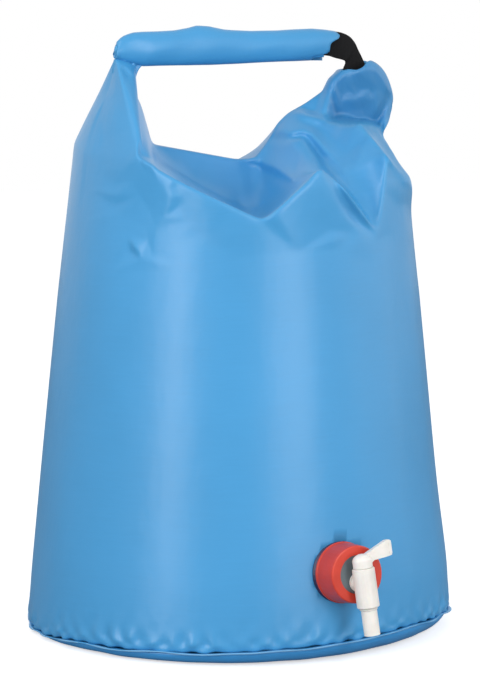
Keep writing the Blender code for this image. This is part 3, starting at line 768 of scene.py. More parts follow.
# Fold lines of the front, as pixels of the photograph with a height in mm.
FRONT_CREASES: dict[str, Line] = {
    "bottom_rim": (
        (40, 268, 0), (110, 272, 0), (180, 268, 0), (240, 254, 0), (300, 252, 0), (345, 256, 0),
        (376, 264, 0), (400, 258, 0), (430, 268, 0),
    ),
    "left_rim": (
        (40, 268, 0), (55, 200, 0), (62, 160, 0), (72, 138, 0), (88, 110, 0), (100, 84, 0), (108, 56, 0),
    ),
    "right_rim": (
        (430, 268, 0), (425, 200, 3), (414, 176, 16), (402, 152, 32), (395, 140, 34), (387.5, 131.5, 18),
        (392, 119, 3), (400, 112, 0), (398, 84, 0), (384, 56, 0),
    ),
    "mouth_left": (
        (108, 56, 0), (118, 57, 0), (131, 66, 0), (136.5, 75, 0), (134.5, 88, 0.5), (140, 106, 1.2),
        (151.5, 145, 1), (190, 151, 0), (236, 160, 0),
    ),
    "mouth_right": (
        (236, 160, 0), (250, 155, 0), (258, 147, 0), (273, 131, 0), (287, 115, 0), (304, 104, 0),
        (322, 90, 0), (334, 74, 0.5), (343, 70.5, 2), (356, 70.5, 3), (370, 61, 2), (384, 56, 0),
    ),
    "leg_shine_edge": (
        (116, 63, 0.5), (116.5, 75.5, 1), (119, 92.4, 1.2), (124, 113, 1.5), (128, 129, 2),
        (132.5, 147, 4),
    ),
    "leg_ridge": (
        (118.5, 60.5, 1.5), (121, 70, 2.6), (125.5, 86, 4), (130.5, 98.5, 4.8), (134.8, 113, 5.5),
        (138, 127, 6), (138.5, 141, 6.2), (136.8, 155, 6.5),
    ),
    "leg_pleat": ((119.5, 65, 0.8), (123, 69, -1.2), (127.5, 74, -1.4), (129.5, 78.5, 0.8)),
    "leg_flap": ((124.5, 66.3, 1.2), (129, 70, 1.6), (132.5, 74.5, 1.2)),
    "leg_hollow": ((104, 92, 0.5), (101, 115, -2), (104, 140, -2.5), (104, 170, -1)),
    "leg_side": ((84, 142, 0), (92, 160, -1.5), (88, 190, -1.5), (84, 220, -0.5)),
    "leg_inner": ((130, 82, 2.2), (136.5, 102, 3), (142, 125, 3.4), (147, 141, 3)),
    "corner_lip": (
        (136.8, 155, 7), (141, 159.5, 8), (150, 163.8, 8), (160.6, 168, 7), (177.6, 176.5, 6),
        (203, 190.4, 4.5), (221, 200, 3.5), (239.4, 207.4, 2.5), (256, 215.6, 2), (264, 218.8, 2),
    ),
    "corner_drop": (
        (141.5, 154.5, 0), (151, 159, -2.5), (162, 164, -4), (179, 172.5, -4), (204, 186.5, -3),
        (222, 196.3, -2), (240, 203.8, -1), (257, 212.3, 0),
    ),
    "corner_shade": ((153.5, 148.5, -1), (158, 157, -5), (167, 164.5, -6), (172, 166, -5)),
    "corner_shade_end": ((171, 150.5, -0.5), (178, 162, -2), (184, 171, -3)),
    "second_ridge": (
        (136.8, 155, 6.5), (146, 166.4, 6.5), (157, 178.5, 6.5), (166.5, 189.4, 6), (169.8, 196, 5.2),
        (168.5, 206, 4), (163, 217, 2.4), (156, 228, 1), (148, 240, 0),
    ),
    "second_shade": (
        (124, 168, 3), (131, 182, 2.6), (140, 196, 2), (149, 208, 1.5), (152, 218, 1), (147, 228, 0.4),
    ),
    "second_light": (
        (176, 186, 4.6), (184, 199, 3), (193, 209.5, 2.2), (203, 217.5, 1.8), (210.5, 225, 1.4),
        (212.5, 234, 0.6), (211, 243, 0),
    ),
    "second_floor": ((178, 206, 2), (188, 220, 0.8), (196, 234, 0)),
    "crumple_high": ((113, 186, 0), (116.5, 195, 1.2), (115, 205, -0.8), (118, 214, 0)),
    "crumple_middle": ((128, 238, 0), (134, 246, 2), (132, 253, -1.6), (141, 258, 0.8), (153, 256, 0)),
    "valley_right": (
        (264, 218.8, 2), (270, 217, 4), (278, 209.2, 5.5), (289.4, 198.3, 6), (300.8, 188.6, 6.5),
        (311.2, 178.2, 6.5), (321, 165.6, 7),
    ),
    "arm_back": ((254, 211.5, 0), (266, 204.5, -1), (278, 199, -2.5), (290, 191, -4), (296.3, 186, -5)),
    "arm_lilac": ((257, 208.5, -2), (274.4, 195.6, -3.5), (290, 188.5, -5)),
    "recess_crease": ((233, 177, -1), (241, 189, 0.5), (246, 201, 0.5)),
    "recess_right": ((243, 172, -1.5), (256, 184, -3), (262, 196, -3)),
    "shadow_crease": (
        (240, 161, -1), (252, 165, -3), (263, 169, -5), (278, 176, -6), (289.4, 180.6, -6),
        (296.3, 186, -5),
    ),
    "shadow_lip": ((243, 158.5, 0), (256, 160, 0.5), (268, 166, 1), (281, 172.5, 1), (293, 180, 0)),
    "facet_left": ((296.3, 186, -5), (296, 172, -2), (298.5, 158.9, 1), (302.5, 141, 6)),
    "facet_flat": ((272, 150, 0), (284, 160, 1), (290, 170, 0)),
    "under_edge": ((273, 136, -2), (281, 136.5, -2.5), (290, 137.5, -2), (297, 136.5, -1)),
    "under_light": (
        (273, 142, 1), (284, 142.5, 3), (294, 140, 5), (302.5, 138.5, 6.5), (308.5, 146, 7),
        (314.5, 155, 7), (321, 165.6, 7), (329, 184, 6), (337.5, 202, 4), (346, 216, 2.5),
        (356, 226.5, 1.5), (368, 233, 0.5),
    ),
    "fold_dark": (
        (300, 135.2, -1), (306.5, 138.5, -4), (313.5, 147, -5.5), (320.4, 156.5, -5), (327.2, 168, 0),
        (334, 180, 3), (340, 191, 3), (347, 202.5, 1), (355, 215, -2), (364, 225.5, -1.5),
        (374, 232.5, -0.3),
    ),
    "fold_edge": (
        (270.5, 132.5, 1), (280, 133, 4.5), (290, 134.2, 6), (297.5, 132.8, 7), (304.3, 132, 8),
        (311.2, 134.6, 9), (318, 141, 10), (325, 149, 12), (331.8, 156, 15), (337.6, 163, 19),
        (343.3, 172.5, 23.5), (350.2, 185, 24), (357, 196.6, 20), (365, 209, 14), (372, 222, 6.5),
        (376.5, 233, 1.5),
    ),
    "band_back": (
        (290, 108.5, 0), (301, 108.3, -2.5), (313.5, 112.8, -4), (327.5, 117, -3), (334, 119, -1),
        (343.5, 119.9, 0), (357, 120.4, 0), (366, 120.8, 0), (371, 121.8, 0), (375.5, 124.5, 0),
        (380.5, 132, 3),
    ),
    "band_ridge": (
        (284, 117, 1), (291, 111.4, 4), (299.7, 112.2, 6.5), (313.5, 116.6, 8), (327.2, 119.6, 9),
        (343.3, 121.3, 11), (357, 121.9, 11), (369.7, 122.5, 12), (374.3, 124.5, 12), (380, 133.5, 15),
        (384.5, 143, 15), (388, 153, 13),
    ),
    "band_shine": ((343.3, 120.8, 11), (352, 131, 11), (364, 140.5, 9), (377, 147.5, 8.5), (388, 153, 11)),
    "band_hollow": ((300, 120, 4), (316, 126, 3.5), (330, 133, 6), (338, 142, 9), (347, 151, 11)),
    "pocket_brow": (
        (340, 165, 20), (347, 165.2, 20), (356.5, 164.5, 18), (366.3, 163, 14), (377.8, 158.7, 11),
        (388, 153, 13),
    ),
    "pocket_roof": ((352, 172, 20), (360, 170, 17), (368, 169, 12.5), (377, 165.5, 8.5)),
    "pocket_middle": (
        (359, 180, 17), (364, 190, 14.5), (368.5, 204, 9), (372.3, 218, 4.5), (375.3, 229, 1.5),
    ),
    "pocket_right": (
        (388, 153, 13), (388, 164, 9), (386.3, 176, 6.5), (382.6, 188, 4.6), (379.5, 204, 3.4),
        (377.2, 221, 2), (376.5, 233, 1),
    ),
    "pocket_foot": ((350, 233, 0), (360, 238, 1.2), (372, 240, 0.6), (384, 236, 0)),
    "foot_ray": ((329, 232, 0), (335, 240, 1.2), (338, 247, 0)),
    "right_body": ((400, 184, 8), (397, 205, 2.5), (392, 235, 0)),
    "ear_shine": ((326, 88, 1), (328, 98, 1.5), (329, 108, 1.5), (330.5, 116, 0)),
    "ear_crease": ((331.2, 90, 0), (332.2, 97, -1.5), (332.6, 108, -2), (335, 115, -2)),
    "ear_fold": ((331.8, 84, 1.5), (334, 90, 1.5), (337.5, 100, 0.8), (338.8, 110, 0.5), (340, 116, 0)),
    "ear_fold_line": ((335, 84, 0), (338.5, 92, -1), (341, 100, -1.2), (342, 110, -0.8)),
    "ear_notch": ((338, 80, 1), (344, 83, 0), (348, 91, -1), (355, 95, -0.6)),
    "ear_middle": ((352, 84, 0), (362, 90, -0.8), (371, 92, -0.6)),
    "ear_cross": (
        (343, 101.5, -0.4), (354.4, 100.2, 0.6), (363.5, 96.6, 1), (370, 91.8, 1), (377, 86.5, 1),
        (384, 79, 1),
    ),
    "ear_under": ((344, 111, -1), (354, 110, -1.2), (364, 109, -0.6), (372, 105, 0), (376, 99, 0.4)),
    "ear_upper": ((349, 72, 1), (353, 78, 1), (351, 86, 0)),
    "ear_valley": (
        (391.5, 92, 0), (388, 100, -1.5), (384, 108, -2), (380.5, 115, -2), (377.5, 121, -2),
        (377.8, 126, -1), (380.5, 132, -1),
    ),
    "ear_valley_side": ((387, 90, 1), (382, 100, 0.6), (378, 108, 0.4), (374.5, 114.5, 0), (373, 118, 0)),
    "ear_rim": ((391.6, 101, 0.8), (388.5, 108, 1.2), (385.5, 115, 1.5), (383, 123, 1.5), (382, 130, 0)),
}


# Where the ear's leaning front panel is, as pixels of the photograph with its share. The share also darkens
# the fabric there as painted shade.
EAR_PANEL: dict[str, Line] = {
    "panel_edge": (
        (318, 80, 0), (322, 90, 0), (324, 100, 0), (325, 110, 0), (327, 119.8, 0), (343, 121.7, 0),
        (357, 122.3, 0), (369.7, 122.9, 0), (376, 126.5, 0), (381, 134, 0), (387, 132, 0), (393, 118, 0),
        (397, 104, 0), (398, 90, 0), (392, 72, 0), (380, 58, 0), (366, 55, 0), (352, 62, 0), (336, 66, 0),
        (326, 74, 0), (318, 80, 0),
    ),
    "panel_inside": (
        (332, 88, 0.6), (333, 100, 0.9), (334, 110, 1), (336, 118.8, 0.95), (343.5, 119.7, 0.95),
        (357, 120.2, 0.95), (367, 120.6, 0.95), (372, 121.8, 0.95), (377, 123.5, 0.9), (382, 116, 0.9),
        (386, 107, 0.8), (388.5, 97, 0.7), (388, 90, 0.8), (384, 80, 0.8), (376, 70, 0.8), (366, 68, 0.8),
        (352, 74, 0.8), (342, 76, 0.8), (335, 82, 0.7), (332, 88, 0.6),
    ),
}


# Where the right shoulder's fabric is chafed, as pixels of the photograph with its share.
CHAFED_SHOULDER: dict[str, Line] = {
    "chafed_edge": (
        (350, 119, 0), (368, 141, 0), (384, 162, 0), (394, 180, 0), (402, 196, 0), (420, 200, 0),
        (420, 172, 0), (404, 150, 0), (390, 131, 0), (376, 121, 0), (364, 118.5, 0), (350, 119, 0),
    ),
    "chafed_left": (
        (361, 122.5, 1), (371, 133, 1), (380, 145, 1), (388, 156, 1), (396, 168, 1), (403, 181, 0.8),
    ),
    "chafed_right": (
        (361, 122.5, 1), (370, 123.5, 1), (380, 130, 1), (386.5, 140, 1), (400, 160.5, 1),
        (412.5, 178, 1), (414, 190, 0.5), (403, 181, 0.8),
    ),
}


@dataclass
class BagSkin:
    """The fabric of the bag in one piece: wall, folded shoulder, leg and ear."""

    wall: WallSizes
    camera: PhotoCamera
    fold_start: float = 0.270
    gusset_top: float = 0.3885
    ear_reach: float = 0.09213
    mouth_half_gap: float = 0.0015
    ply: float = 0.0008
    column_spacing: float = 0.0023
    row_spacing: float = 0.0018
    wall_row_spacing: float = 0.0080
    loft_foot: float = 0.246
    edge_band_height: float = 0.0185
    edge_spacing: float = 0.0011
    fine_foot_height: float = 0.040
    fine_foot_spacing: float = 0.0026
    straight_samples: int = 60
    curve_samples: int = 160
    even_samples: int = 240
    break_softness: float = 0.0022
    line_softness: float = 0.0030
    relief_softness: float = 0.8
    hole_radius: float = 0.0178
    hole_depth: float = 0.02
    lip_crown: float = 0.8
    lip_v: tuple[float, float] = (0.4, 0.402)
    blend_low: float = 0.120
    blend_high: float = 0.325
    panel_height: float = 0.3790
    panel_front: float = -0.0130
    panel_lean: float = 0.27
    seam_half: float = 0.0075
    seam_edge: float = 0.3
    seam_rise: float = 0.0006
    swell: Waves = Waves(7, 0.25, 0.8, 11, 0.00040)
    swell_mean: float = 0.0008
    swell_climb: float = 3.0
    drape: Waves = Waves(9, 0.5, 1.3, 23, 0.00020)
    drape_turns: float = 3.0
    drape_climb: float = 1.2
    settled_height: float = 0.03
    pucker: Waves = Waves(9, 40.0, 120.0, 5)
    pucker_depth: float = 0.0017
    pucker_climb: float = 0.6
    pucker_start: float = 0.0020
    pucker_fade: float = 0.0055
    tuck_depth: float = 0.0015
    tuck_fade: float = 0.0016
    tuck_change: float = 0.8
    dent_end: float = 0.05
    dent_fade: float = 0.09
    # Soft bulges of the wall: turn round the front, height, metres outwards, and their spreads.
    bulges: Line = (
        (0.86, 0.3040, 0.0030, 0.080, 0.0085),
        (0.80, 0.2900, 0.0006, 0.120, 0.0200),
        (0.34, 0.2900, 0.0008, 0.100, 0.0300),
        (0.82, 0.0400, 0.0020, 0.140, 0.0300),
        (1.90, 0.1200, 0.0008, 0.200, 0.1200),
        (1.00, 0.3375, -0.0045, 0.120, 0.0045),
        (1.00, 0.3420, -0.0030, 0.120, 0.0105),
        (0.00, 0.3700, -0.0030, 0.080, 0.0110),
    )
    rows: tuple[FoldRow, ...] = (
        FoldRow(-0.830, 0.930, 0.000, 0.490, 0.15, 0.000, 0.490, 0.15, 0.3),
        FoldRow(-0.808, 0.985, 0.070, 0.480, 0.20, 0.080, 0.530, 0.05),
        FoldRow(-0.798, 1.012, 0.150, 0.464, 0.12, 0.165, 0.535, 0.02),
        FoldRow(-0.747, 1.006, 0.156, 0.462, 0.10, 0.172, 0.525, 0.03),
        FoldRow(-0.703, 0.996, 0.160, 0.460, 0.08, 0.177, 0.517, 0.05),
        FoldRow(-0.672, 0.962, 0.164, 0.459, 0.06, 0.183, 0.506, 0.06),
        FoldRow(-0.676, 0.932, 0.167, 0.458, 0.05, 0.190, 0.495, 0.06),
        FoldRow(-0.700, 0.870, 0.173, 0.452, 0.02, 0.200, 0.470, 0.08),
        FoldRow(-0.672, 0.815, 0.178, 0.448, 0.00, 0.206, 0.460, 0.08),
        FoldRow(-0.634, 0.739, 0.184, 0.440, 0.00, 0.212, 0.440, 0.08),
        FoldRow(-0.568, 0.528, 0.200, 0.412, -0.10, 0.235, 0.385, 0.04),
        FoldRow(-0.319, 0.485, 0.281, 0.304, -0.65, 0.330, 0.236, 0.00),
        FoldRow(-0.023, 0.434, 0.394, 0.148, -0.80, 0.445, 0.186, 0.00),
        FoldRow(0.085, 0.434, 0.430, 0.236, -0.80, 0.480, 0.220, 0.00),
        FoldRow(0.150, 0.447, 0.470, 0.342, -0.70, 0.520, 0.255, 0.00),
        FoldRow(0.225, 0.512, 0.506, 0.430, -0.50, 0.566, 0.287, 0.00),
        FoldRow(0.288, 0.575, 0.535, 0.360, -0.30, 0.598, 0.250, 0.00),
        FoldRow(0.322, 0.631, 0.556, 0.300, -0.10, 0.622, 0.220, 0.00),
        FoldRow(0.420, 0.698, 0.592, 0.170, 0.00, 0.650, 0.195, 0.03),
        FoldRow(0.568, 0.753, 0.626, 0.051, 0.00, 0.678, 0.169, 0.05),
        FoldRow(0.724, 0.828, 0.687, 0.478, 0.08, 0.733, 0.253, 0.12),
        FoldRow(0.765, 0.898, 0.715, 0.420, 0.05, 0.755, 0.262, 0.18),
        FoldRow(0.828, 0.935, 0.745, 0.370, -0.05, 0.782, 0.270, 0.22, 1.6),
        FoldRow(0.866, 0.955, 0.775, 0.350, -0.22, 0.808, 0.262, 0.26, 3.6),
        FoldRow(0.910, 0.962, 0.805, 0.345, -0.32, 0.828, 0.256, 0.28, 4.2, 0.0002),
        FoldRow(0.975, 0.962, 0.835, 0.342, -0.38, 0.848, 0.250, 0.30, 4.3, 0.0010),
        FoldRow(1.035, 0.978, 0.865, 0.338, -0.42, 0.868, 0.246, 0.30, 4.2, 0.0004),
        FoldRow(1.065, 1.004, 0.885, 0.332, -0.44, 0.882, 0.245, 0.32, 3.8),
        FoldRow(1.105, 1.014, 0.905, 0.322, -0.44, 0.900, 0.245, 0.34, 3.2),
        FoldRow(1.165, 0.996, 0.925, 0.310, -0.42, 0.920, 0.248, 0.34, 2.2),
        FoldRow(1.222, 0.968, 0.940, 0.300, -0.38, 0.935, 0.250, 0.33, 1.5),
        FoldRow(1.270, 0.925, 0.955, 0.290, -0.34, 0.952, 0.254, 0.32, 1.0),
        FoldRow(1.318, 0.840, 0.968, 0.282, -0.28, 0.965, 0.258, 0.30, 0.7),
        FoldRow(1.337, 0.781, 0.980, 0.275, -0.22, 0.978, 0.260, 0.28, 0.5),
        FoldRow(1.326, 0.730, 0.990, 0.268, -0.15, 0.990, 0.262, 0.25, 0.4),
        FoldRow(1.295, 0.660, 1.000, 0.262, -0.10, 1.000, 0.262, 0.20, 0.3),
    )
    open_rows: tuple[int, int] = (23, 30)
    def mouth_point(self, row: FoldRow) -> tuple[float, float]:
        """Place of a row's mouth point across and up."""
        reach = self.ear_reach if row.across > 0 else self.wall.shoulder_radius
        return row.across * reach, self.fold_start + (self.gusset_top - self.fold_start) * row.up

    def side_lines(self, front: bool) -> np.ndarray:
        """Evenly close lines between the rows of one side.

        Args:
            front: True for the tap's side.

        Returns:
            Rows of angle, break height, mouth x, y and z, fullness, and place in the table.
        """
        side = -1.0 if front else 1.0
        knots = []
        for row in self.rows:
            x, z = self.mouth_point(row)
            turn = row.front_turn if front else row.back_turn
            share = row.front_break if front else row.back_break
            fullness = row.front_fullness if front else row.back_fullness
            height = self.fold_start + (self.gusset_top - self.fold_start) * share
            y = side * self.mouth_half_gap * row.opening
            z -= row.front_dip if front else 0.0
            knots.append((math.pi - side * math.pi * turn, height, x, y, z, fullness))
        lines = []
        for place, (knot, following) in enumerate(zip(knots, knots[1:])):
            steps = self.steps_between(place)
            for step in range(steps):
                mix = step / steps
                lines.append([a + (b - a) * mix for a, b in zip(knot, following)] + [place + mix])
        lines.append(list(knots[-1]) + [len(knots) - 1.0])
        return np.array(lines)

    def steps_between(self, place: int) -> int:
        """Lines between two rows of the table, the same for both sides."""
        row, following = self.rows[place], self.rows[place + 1]
        (x0, z0), (x1, z1) = self.mouth_point(row), self.mouth_point(following)
        arcs = (following.front_turn - row.front_turn, following.back_turn - row.back_turn)
        longest = max(max(arcs) * math.pi * self.wall.shoulder_radius, math.hypot(x1 - x0, z1 - z0))
        return max(1, math.ceil(longest / self.column_spacing))

    def ring(self) -> tuple[np.ndarray, int]:
        """Lines all round the bag.

        Returns:
            The lines, from the left fold over the front to the right fold and back, and how many
            of them are the front's.
        """
        front, back = self.side_lines(True), self.side_lines(False)
        count = len(front)
        back[:, 0] += math.tau
        return np.concatenate([front, back[-2:0:-1]]), count

    def wall_dents(self, angle: np.ndarray, height: np.ndarray) -> np.ndarray:
        """How far the filled-out wall stands in or out of its cone.

        Args:
            angle: Direction round the bag.
            height: Height above the floor.

        Returns:
            Metres outwards.
        """
        foot_radius = self.wall.foot_radius
        right, back = np.cos(angle), np.sin(angle)
        swell = self.swell.at(right, back + height * self.swell_climb) + self.swell_mean
        drape = self.drape.at(right * self.drape_turns, back * self.drape_turns + height * self.drape_climb)
        above = np.maximum(height - self.wall.foot_height, 0.0)
        pucker = self.pucker.at(angle * foot_radius, above * self.pucker_climb)
        near = np.exp(-above / self.pucker_fade) * (1 - np.exp(-above / self.pucker_start))
        tuck = np.exp(-(height - self.wall.edge_height) / self.tuck_fade) * (1 + self.tuck_change * pucker)
        beside_seam = np.abs(angle - math.tau - math.pi / 2) * foot_radius / self.seam_half
        seam = self.seam_rise * np.clip(1 + self.seam_edge - beside_seam, 0, 1)
        body = (swell + drape) * np.clip(above / self.settled_height, 0, 1)
        return body + pucker * near * self.pucker_depth - tuck * self.tuck_depth + seam

    def bulging(self, angle: np.ndarray, height: np.ndarray) -> np.ndarray:
        """How far the filled shoulders push the wall out, in metres."""
        total = np.zeros(np.broadcast(angle, height).shape)
        for turn, middle, reach, turn_spread, spread in self.bulges:
            beside = ((angle / math.pi - turn) % 2.0 - 1.0) / turn_spread
            total += reach * np.exp(-0.5 * beside**2 - 0.5 * ((height - middle) / spread) ** 2)
        return total

    def build(self, finish: bpy.types.Material) -> bpy.types.Object:
        """Lofts the skin and lays its folds in.

        Args:
            finish: The fabric's material.

        Returns:
            The finished piece.
        """
        lines, front_count = self.ring()
        count = len(lines)
        even = np.arange(count) * math.tau / count
        spread = np.column_stack([lines[:, 0] - even, lines[:, 1:6]])
        softened = bell_blur(spread, self.line_softness / self.column_spacing, closed=True)
        angle = softened[:, 0] + even
        upper = self.loft(angle, softened)
        heights = self.lower_heights()
        level = np.broadcast_to(heights, (count, len(heights)))
        above_edge = np.clip(1 - (level - self.wall.edge_height) / self.wall.lean_reach, 0, 1)
        leaning = level + self.wall.edge_shift(angle)[:, None] * above_edge
        lower = turned(angle[:, None], self.wall.radius(leaning), leaning)
        grid = np.concatenate([lower, upper], axis=1)
        dents = self.wall_dents(angle[:, None], np.concatenate([level, upper[:, :, 2]], axis=1))
        fade = np.clip((self.fold_start + self.dent_end - grid[:, :, 2]) / self.dent_fade, 0, 1)
        outwards = dents * fade + self.bulging(angle[:, None], grid[:, :, 2])
        grid += turned(angle[:, None], outwards, 0.0)
        grid, shares = self.with_relief(grid, front_count)
        piece = self.mesh_of(grid, shares, angle, front_count)
        thicken(piece, self.ply)
        self.fold_down(piece)
        return dressed(piece, finish)

    def lower_heights(self) -> np.ndarray:
        """Heights of the rows below the loft, close together above the hem."""
        steps = math.ceil((self.loft_foot - self.fine_foot_height) / self.wall_row_spacing)
        return np.concatenate([
            np.arange(self.wall.edge_height, self.edge_band_height, self.edge_spacing),
            np.arange(self.edge_band_height, self.fine_foot_height, self.fine_foot_spacing),
            np.linspace(self.fine_foot_height, self.loft_foot, steps, endpoint=False),
        ])

    def loft(self, angle: np.ndarray, lines: np.ndarray) -> np.ndarray:
        """Points from the top of the plain wall to the mouth.

        Args:
            angle: Direction of each line.
            lines: Rows of spread, break height, mouth x, y, z and fullness.

        Returns:
            An array of lines by rows by coordinates.
        """
        break_height, mouth = lines[:, 1], lines[:, 2:5]
        foot = turned(angle, self.wall.radius(self.loft_foot), self.loft_foot)
        start = turned(angle, self.wall.radius(break_height), break_height)
        rise = turned(angle, -math.sin(self.wall.tilt), math.cos(self.wall.tilt))
        straight = (start + mouth) / 2
        full = start + rise * np.linalg.norm(mouth - start, axis=1, keepdims=True) / 2
        middle = straight + (full - straight) * lines[:, 5:6]
        low = np.linspace(0, 1, self.straight_samples)[None, :, None]
        high = np.linspace(0, 1, self.curve_samples)[None, 1:, None]
        straight_run = foot[:, None] + (start - foot)[:, None] * low
        first = start[:, None] + (middle - start)[:, None] * high
        second = middle[:, None] + (mouth - middle)[:, None] * high
        path = np.concatenate([straight_run, first + (second - first) * high], axis=1)
        run = run_along(path)
        fine = self.even_samples
        even = np.array([
            resampled(line, np.linspace(0, way[-1], fine), way) for line, way in zip(path, run)
        ])
        even = bell_blur(even, self.break_softness / (run[:, -1].mean() / fine), axis=1)
        picks = np.linspace(0, fine - 1, int(round(run[:, -1].max() / self.row_spacing)))
        below = np.floor(picks).astype(int).clip(0, fine - 2)
        mix = (picks - below)[None, :, None]
        return even[:, below] * (1 - mix) + even[:, below + 1] * mix

    def with_relief(self, grid: np.ndarray, front_count: int) -> tuple[np.ndarray, dict[str, np.ndarray]]:
        """Sets the ear's panel back and moves the front towards the camera by the creases' heights.

        Args:
            grid: Points of lines by rows.
            front_count: How many lines are the front's.

        Returns:
            The moved points, and by attribute each point's share of the ear's panel, which darkens it as
            painted shade, and of the chafed cloth.
        """
        shares = {name: np.zeros(grid.shape[:2]) for name in ("painted_ear_shade", "chafed")}
        front = grid[:front_count]
        flat = front.reshape(-1, 3)
        pixels = self.camera.pixels_of(flat)
        towards = self.camera.towards(flat).reshape(front.shape)
        creased, panel, chafed = (
            crease_heights(lines, pixels).reshape(front.shape[:2])
            for lines in (FRONT_CREASES, EAR_PANEL, CHAFED_SHOULDER)
        )
        panel = self.smoothed(panel)
        leaning = self.panel_front + (self.panel_height - front[:, :, 2]) * self.panel_lean
        heights = self.smoothed(creased) * MM + panel * (leaning - front[:, :, 1]) / towards[:, :, 1]
        # The panel's share darkens the ear's fabric as painted shade.
        shares["painted_ear_shade"][:front_count] = panel
        shares["chafed"][:front_count] = chafed
        return np.concatenate([front + towards * heights[:, :, None], grid[front_count:]]), shares

    def fold_down(self, piece: bpy.types.Object) -> None:
        """Bakes a piece's placement into its mesh."""
        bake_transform(piece)

    def smoothed(self, values: np.ndarray) -> np.ndarray:
        """Rounds a map of the front off a little, along its lines and across them."""
        return bell_blur(bell_blur(values, self.relief_softness), self.relief_softness, axis=1)

    def mesh_of(
        self, grid: np.ndarray, shares: dict[str, np.ndarray], angle: np.ndarray, front_count: int
    ) -> bpy.types.Object:
        """Faces over the grid, the port's hole, and the lip that closes the mouth.

        Args:
            grid: Points of lines by rows.
            shares: Each point's value by attribute.
            angle: Direction of each line.
            front_count: How many lines are the front's.

        Returns:
            The sheet, without its thickness.
        """
        count, rows = grid.shape[:2]
        place, axis = self.wall.port_place(), self.wall.port_axis()
        vertices = grid.reshape(-1, 3).copy()
        away = vertices - place
        beside = away - np.outer(away @ axis, axis)
        off_axis = np.linalg.norm(beside, axis=1)
        near_port = away @ axis > -self.hole_depth
        kept = self.kept_lines(count, front_count)
        arc = np.append(angle, angle[0] + math.tau) * self.wall.foot_radius
        run = run_along(grid)
        faces: Faces = []
        uvs: list[tuple[float, float]] = []
        hole_edge: set[int] = set()
        for line, end in zip(kept, kept[1:] + [count]):
            following = end % count
            for row in range(rows - 1):
                a, b = line * rows + row, following * rows + row
                corners = (a, b, b + 1, a + 1)
                if near_port[a] and off_axis[list(corners)].mean() < self.hole_radius:
                    hole_edge.update(corners)
                    continue
                faces.append(corners)
                uvs += [(arc[line], run[line, row]), (arc[end], run[following, row])]
                uvs += [(arc[end], run[following, row + 1]), (arc[line], run[line, row + 1])]
        used = {corner for face in faces for corner in face}
        for index in hole_edge & used:
            scale = self.hole_radius / off_axis[index]
            vertices[index] = place + beside[index] * scale + axis * (away[index] @ axis)
        lip_points, lip_faces, lip_uvs = self.lip(grid, front_count, len(vertices))
        vertices = np.concatenate([vertices, lip_points])
        piece = piece_from("bag_skin", vertices, faces + lip_faces, uvs + lip_uvs)
        for name, share in shares.items():
            attribute = piece.data.attributes.new(name, "FLOAT", "POINT")
            values = np.append(share.ravel(), np.zeros(len(vertices) - share.size))
            attribute.data.foreach_set("value", values.astype(np.float32))
        with editing(piece):
            bpy.ops.mesh.delete_loose()
        return piece

    def kept_lines(self, count: int, front_count: int) -> list[int]:
        """Lines that get faces: all of the front's, and every second one of the back's."""
        return [line for line in range(count) if line < front_count or (count - line) % 2 == 0]

    def lip(
        self, grid: np.ndarray, front_count: int, first_index: int
    ) -> tuple[np.ndarray, Faces, list[tuple[float, float]]]:
        """The rounded fold that joins front and back along the closed mouth.

        Args:
            grid: Points of lines by rows.
            front_count: How many lines are the front's.
            first_index: Index of the first new vertex.

        Returns:
            The new points, the faces and their UV corners.
        """
        count, rows = grid.shape[:2]
        steps = [self.steps_between(place) for place in range(len(self.rows) - 1)]
        starts = np.concatenate([[0], np.cumsum(steps)])
        open_from, open_to = starts[self.open_rows[0]], starts[self.open_rows[1]]
        tops = []
        faces: Faces = []
        uvs: list[tuple[float, float]] = []
        for line in range(front_count):
            partner = (count - line) % count
            middle = (grid[line, -1] + grid[partner, -1]) / 2
            tangent = grid[min(line + 1, front_count - 1), -1] - grid[max(line - 1, 0), -1]
            outward = np.array([-tangent[2], 0.0, tangent[0]])
            outward /= max(np.linalg.norm(outward), WELD)
            half = abs(grid[line, -1][1] - grid[partner, -1][1]) / 2
            tops.append(middle + outward * min(half * self.lip_crown, self.ply))
        width, (low, high) = self.column_spacing, self.lip_v
        for a in range(front_count - 1):
            if open_from <= a < open_to:
                continue
            b = a + 1
            pa, pb = (
                (count - near + near % 2) % count if near < front_count - 1 else near for near in (a, b)
            )
            fa, fb, bb, ba = (line * rows + rows - 1 for line in (a, b, pb, pa))
            left = [] if fa == ba else [first_index + a]
            right = [] if fb == bb else [first_index + b]
            corner_uvs = [(a * width, low), (b * width, low), (b * width, high), (a * width, high)]
            for corners in ([fa, fb, *right, *left], [*left, *right, bb, ba]):
                face = tuple(dict.fromkeys(corners))
                if len(face) > 2:
                    faces.append(face)
                    uvs += corner_uvs[: len(face)]
        return np.array(tops), faces, uvs


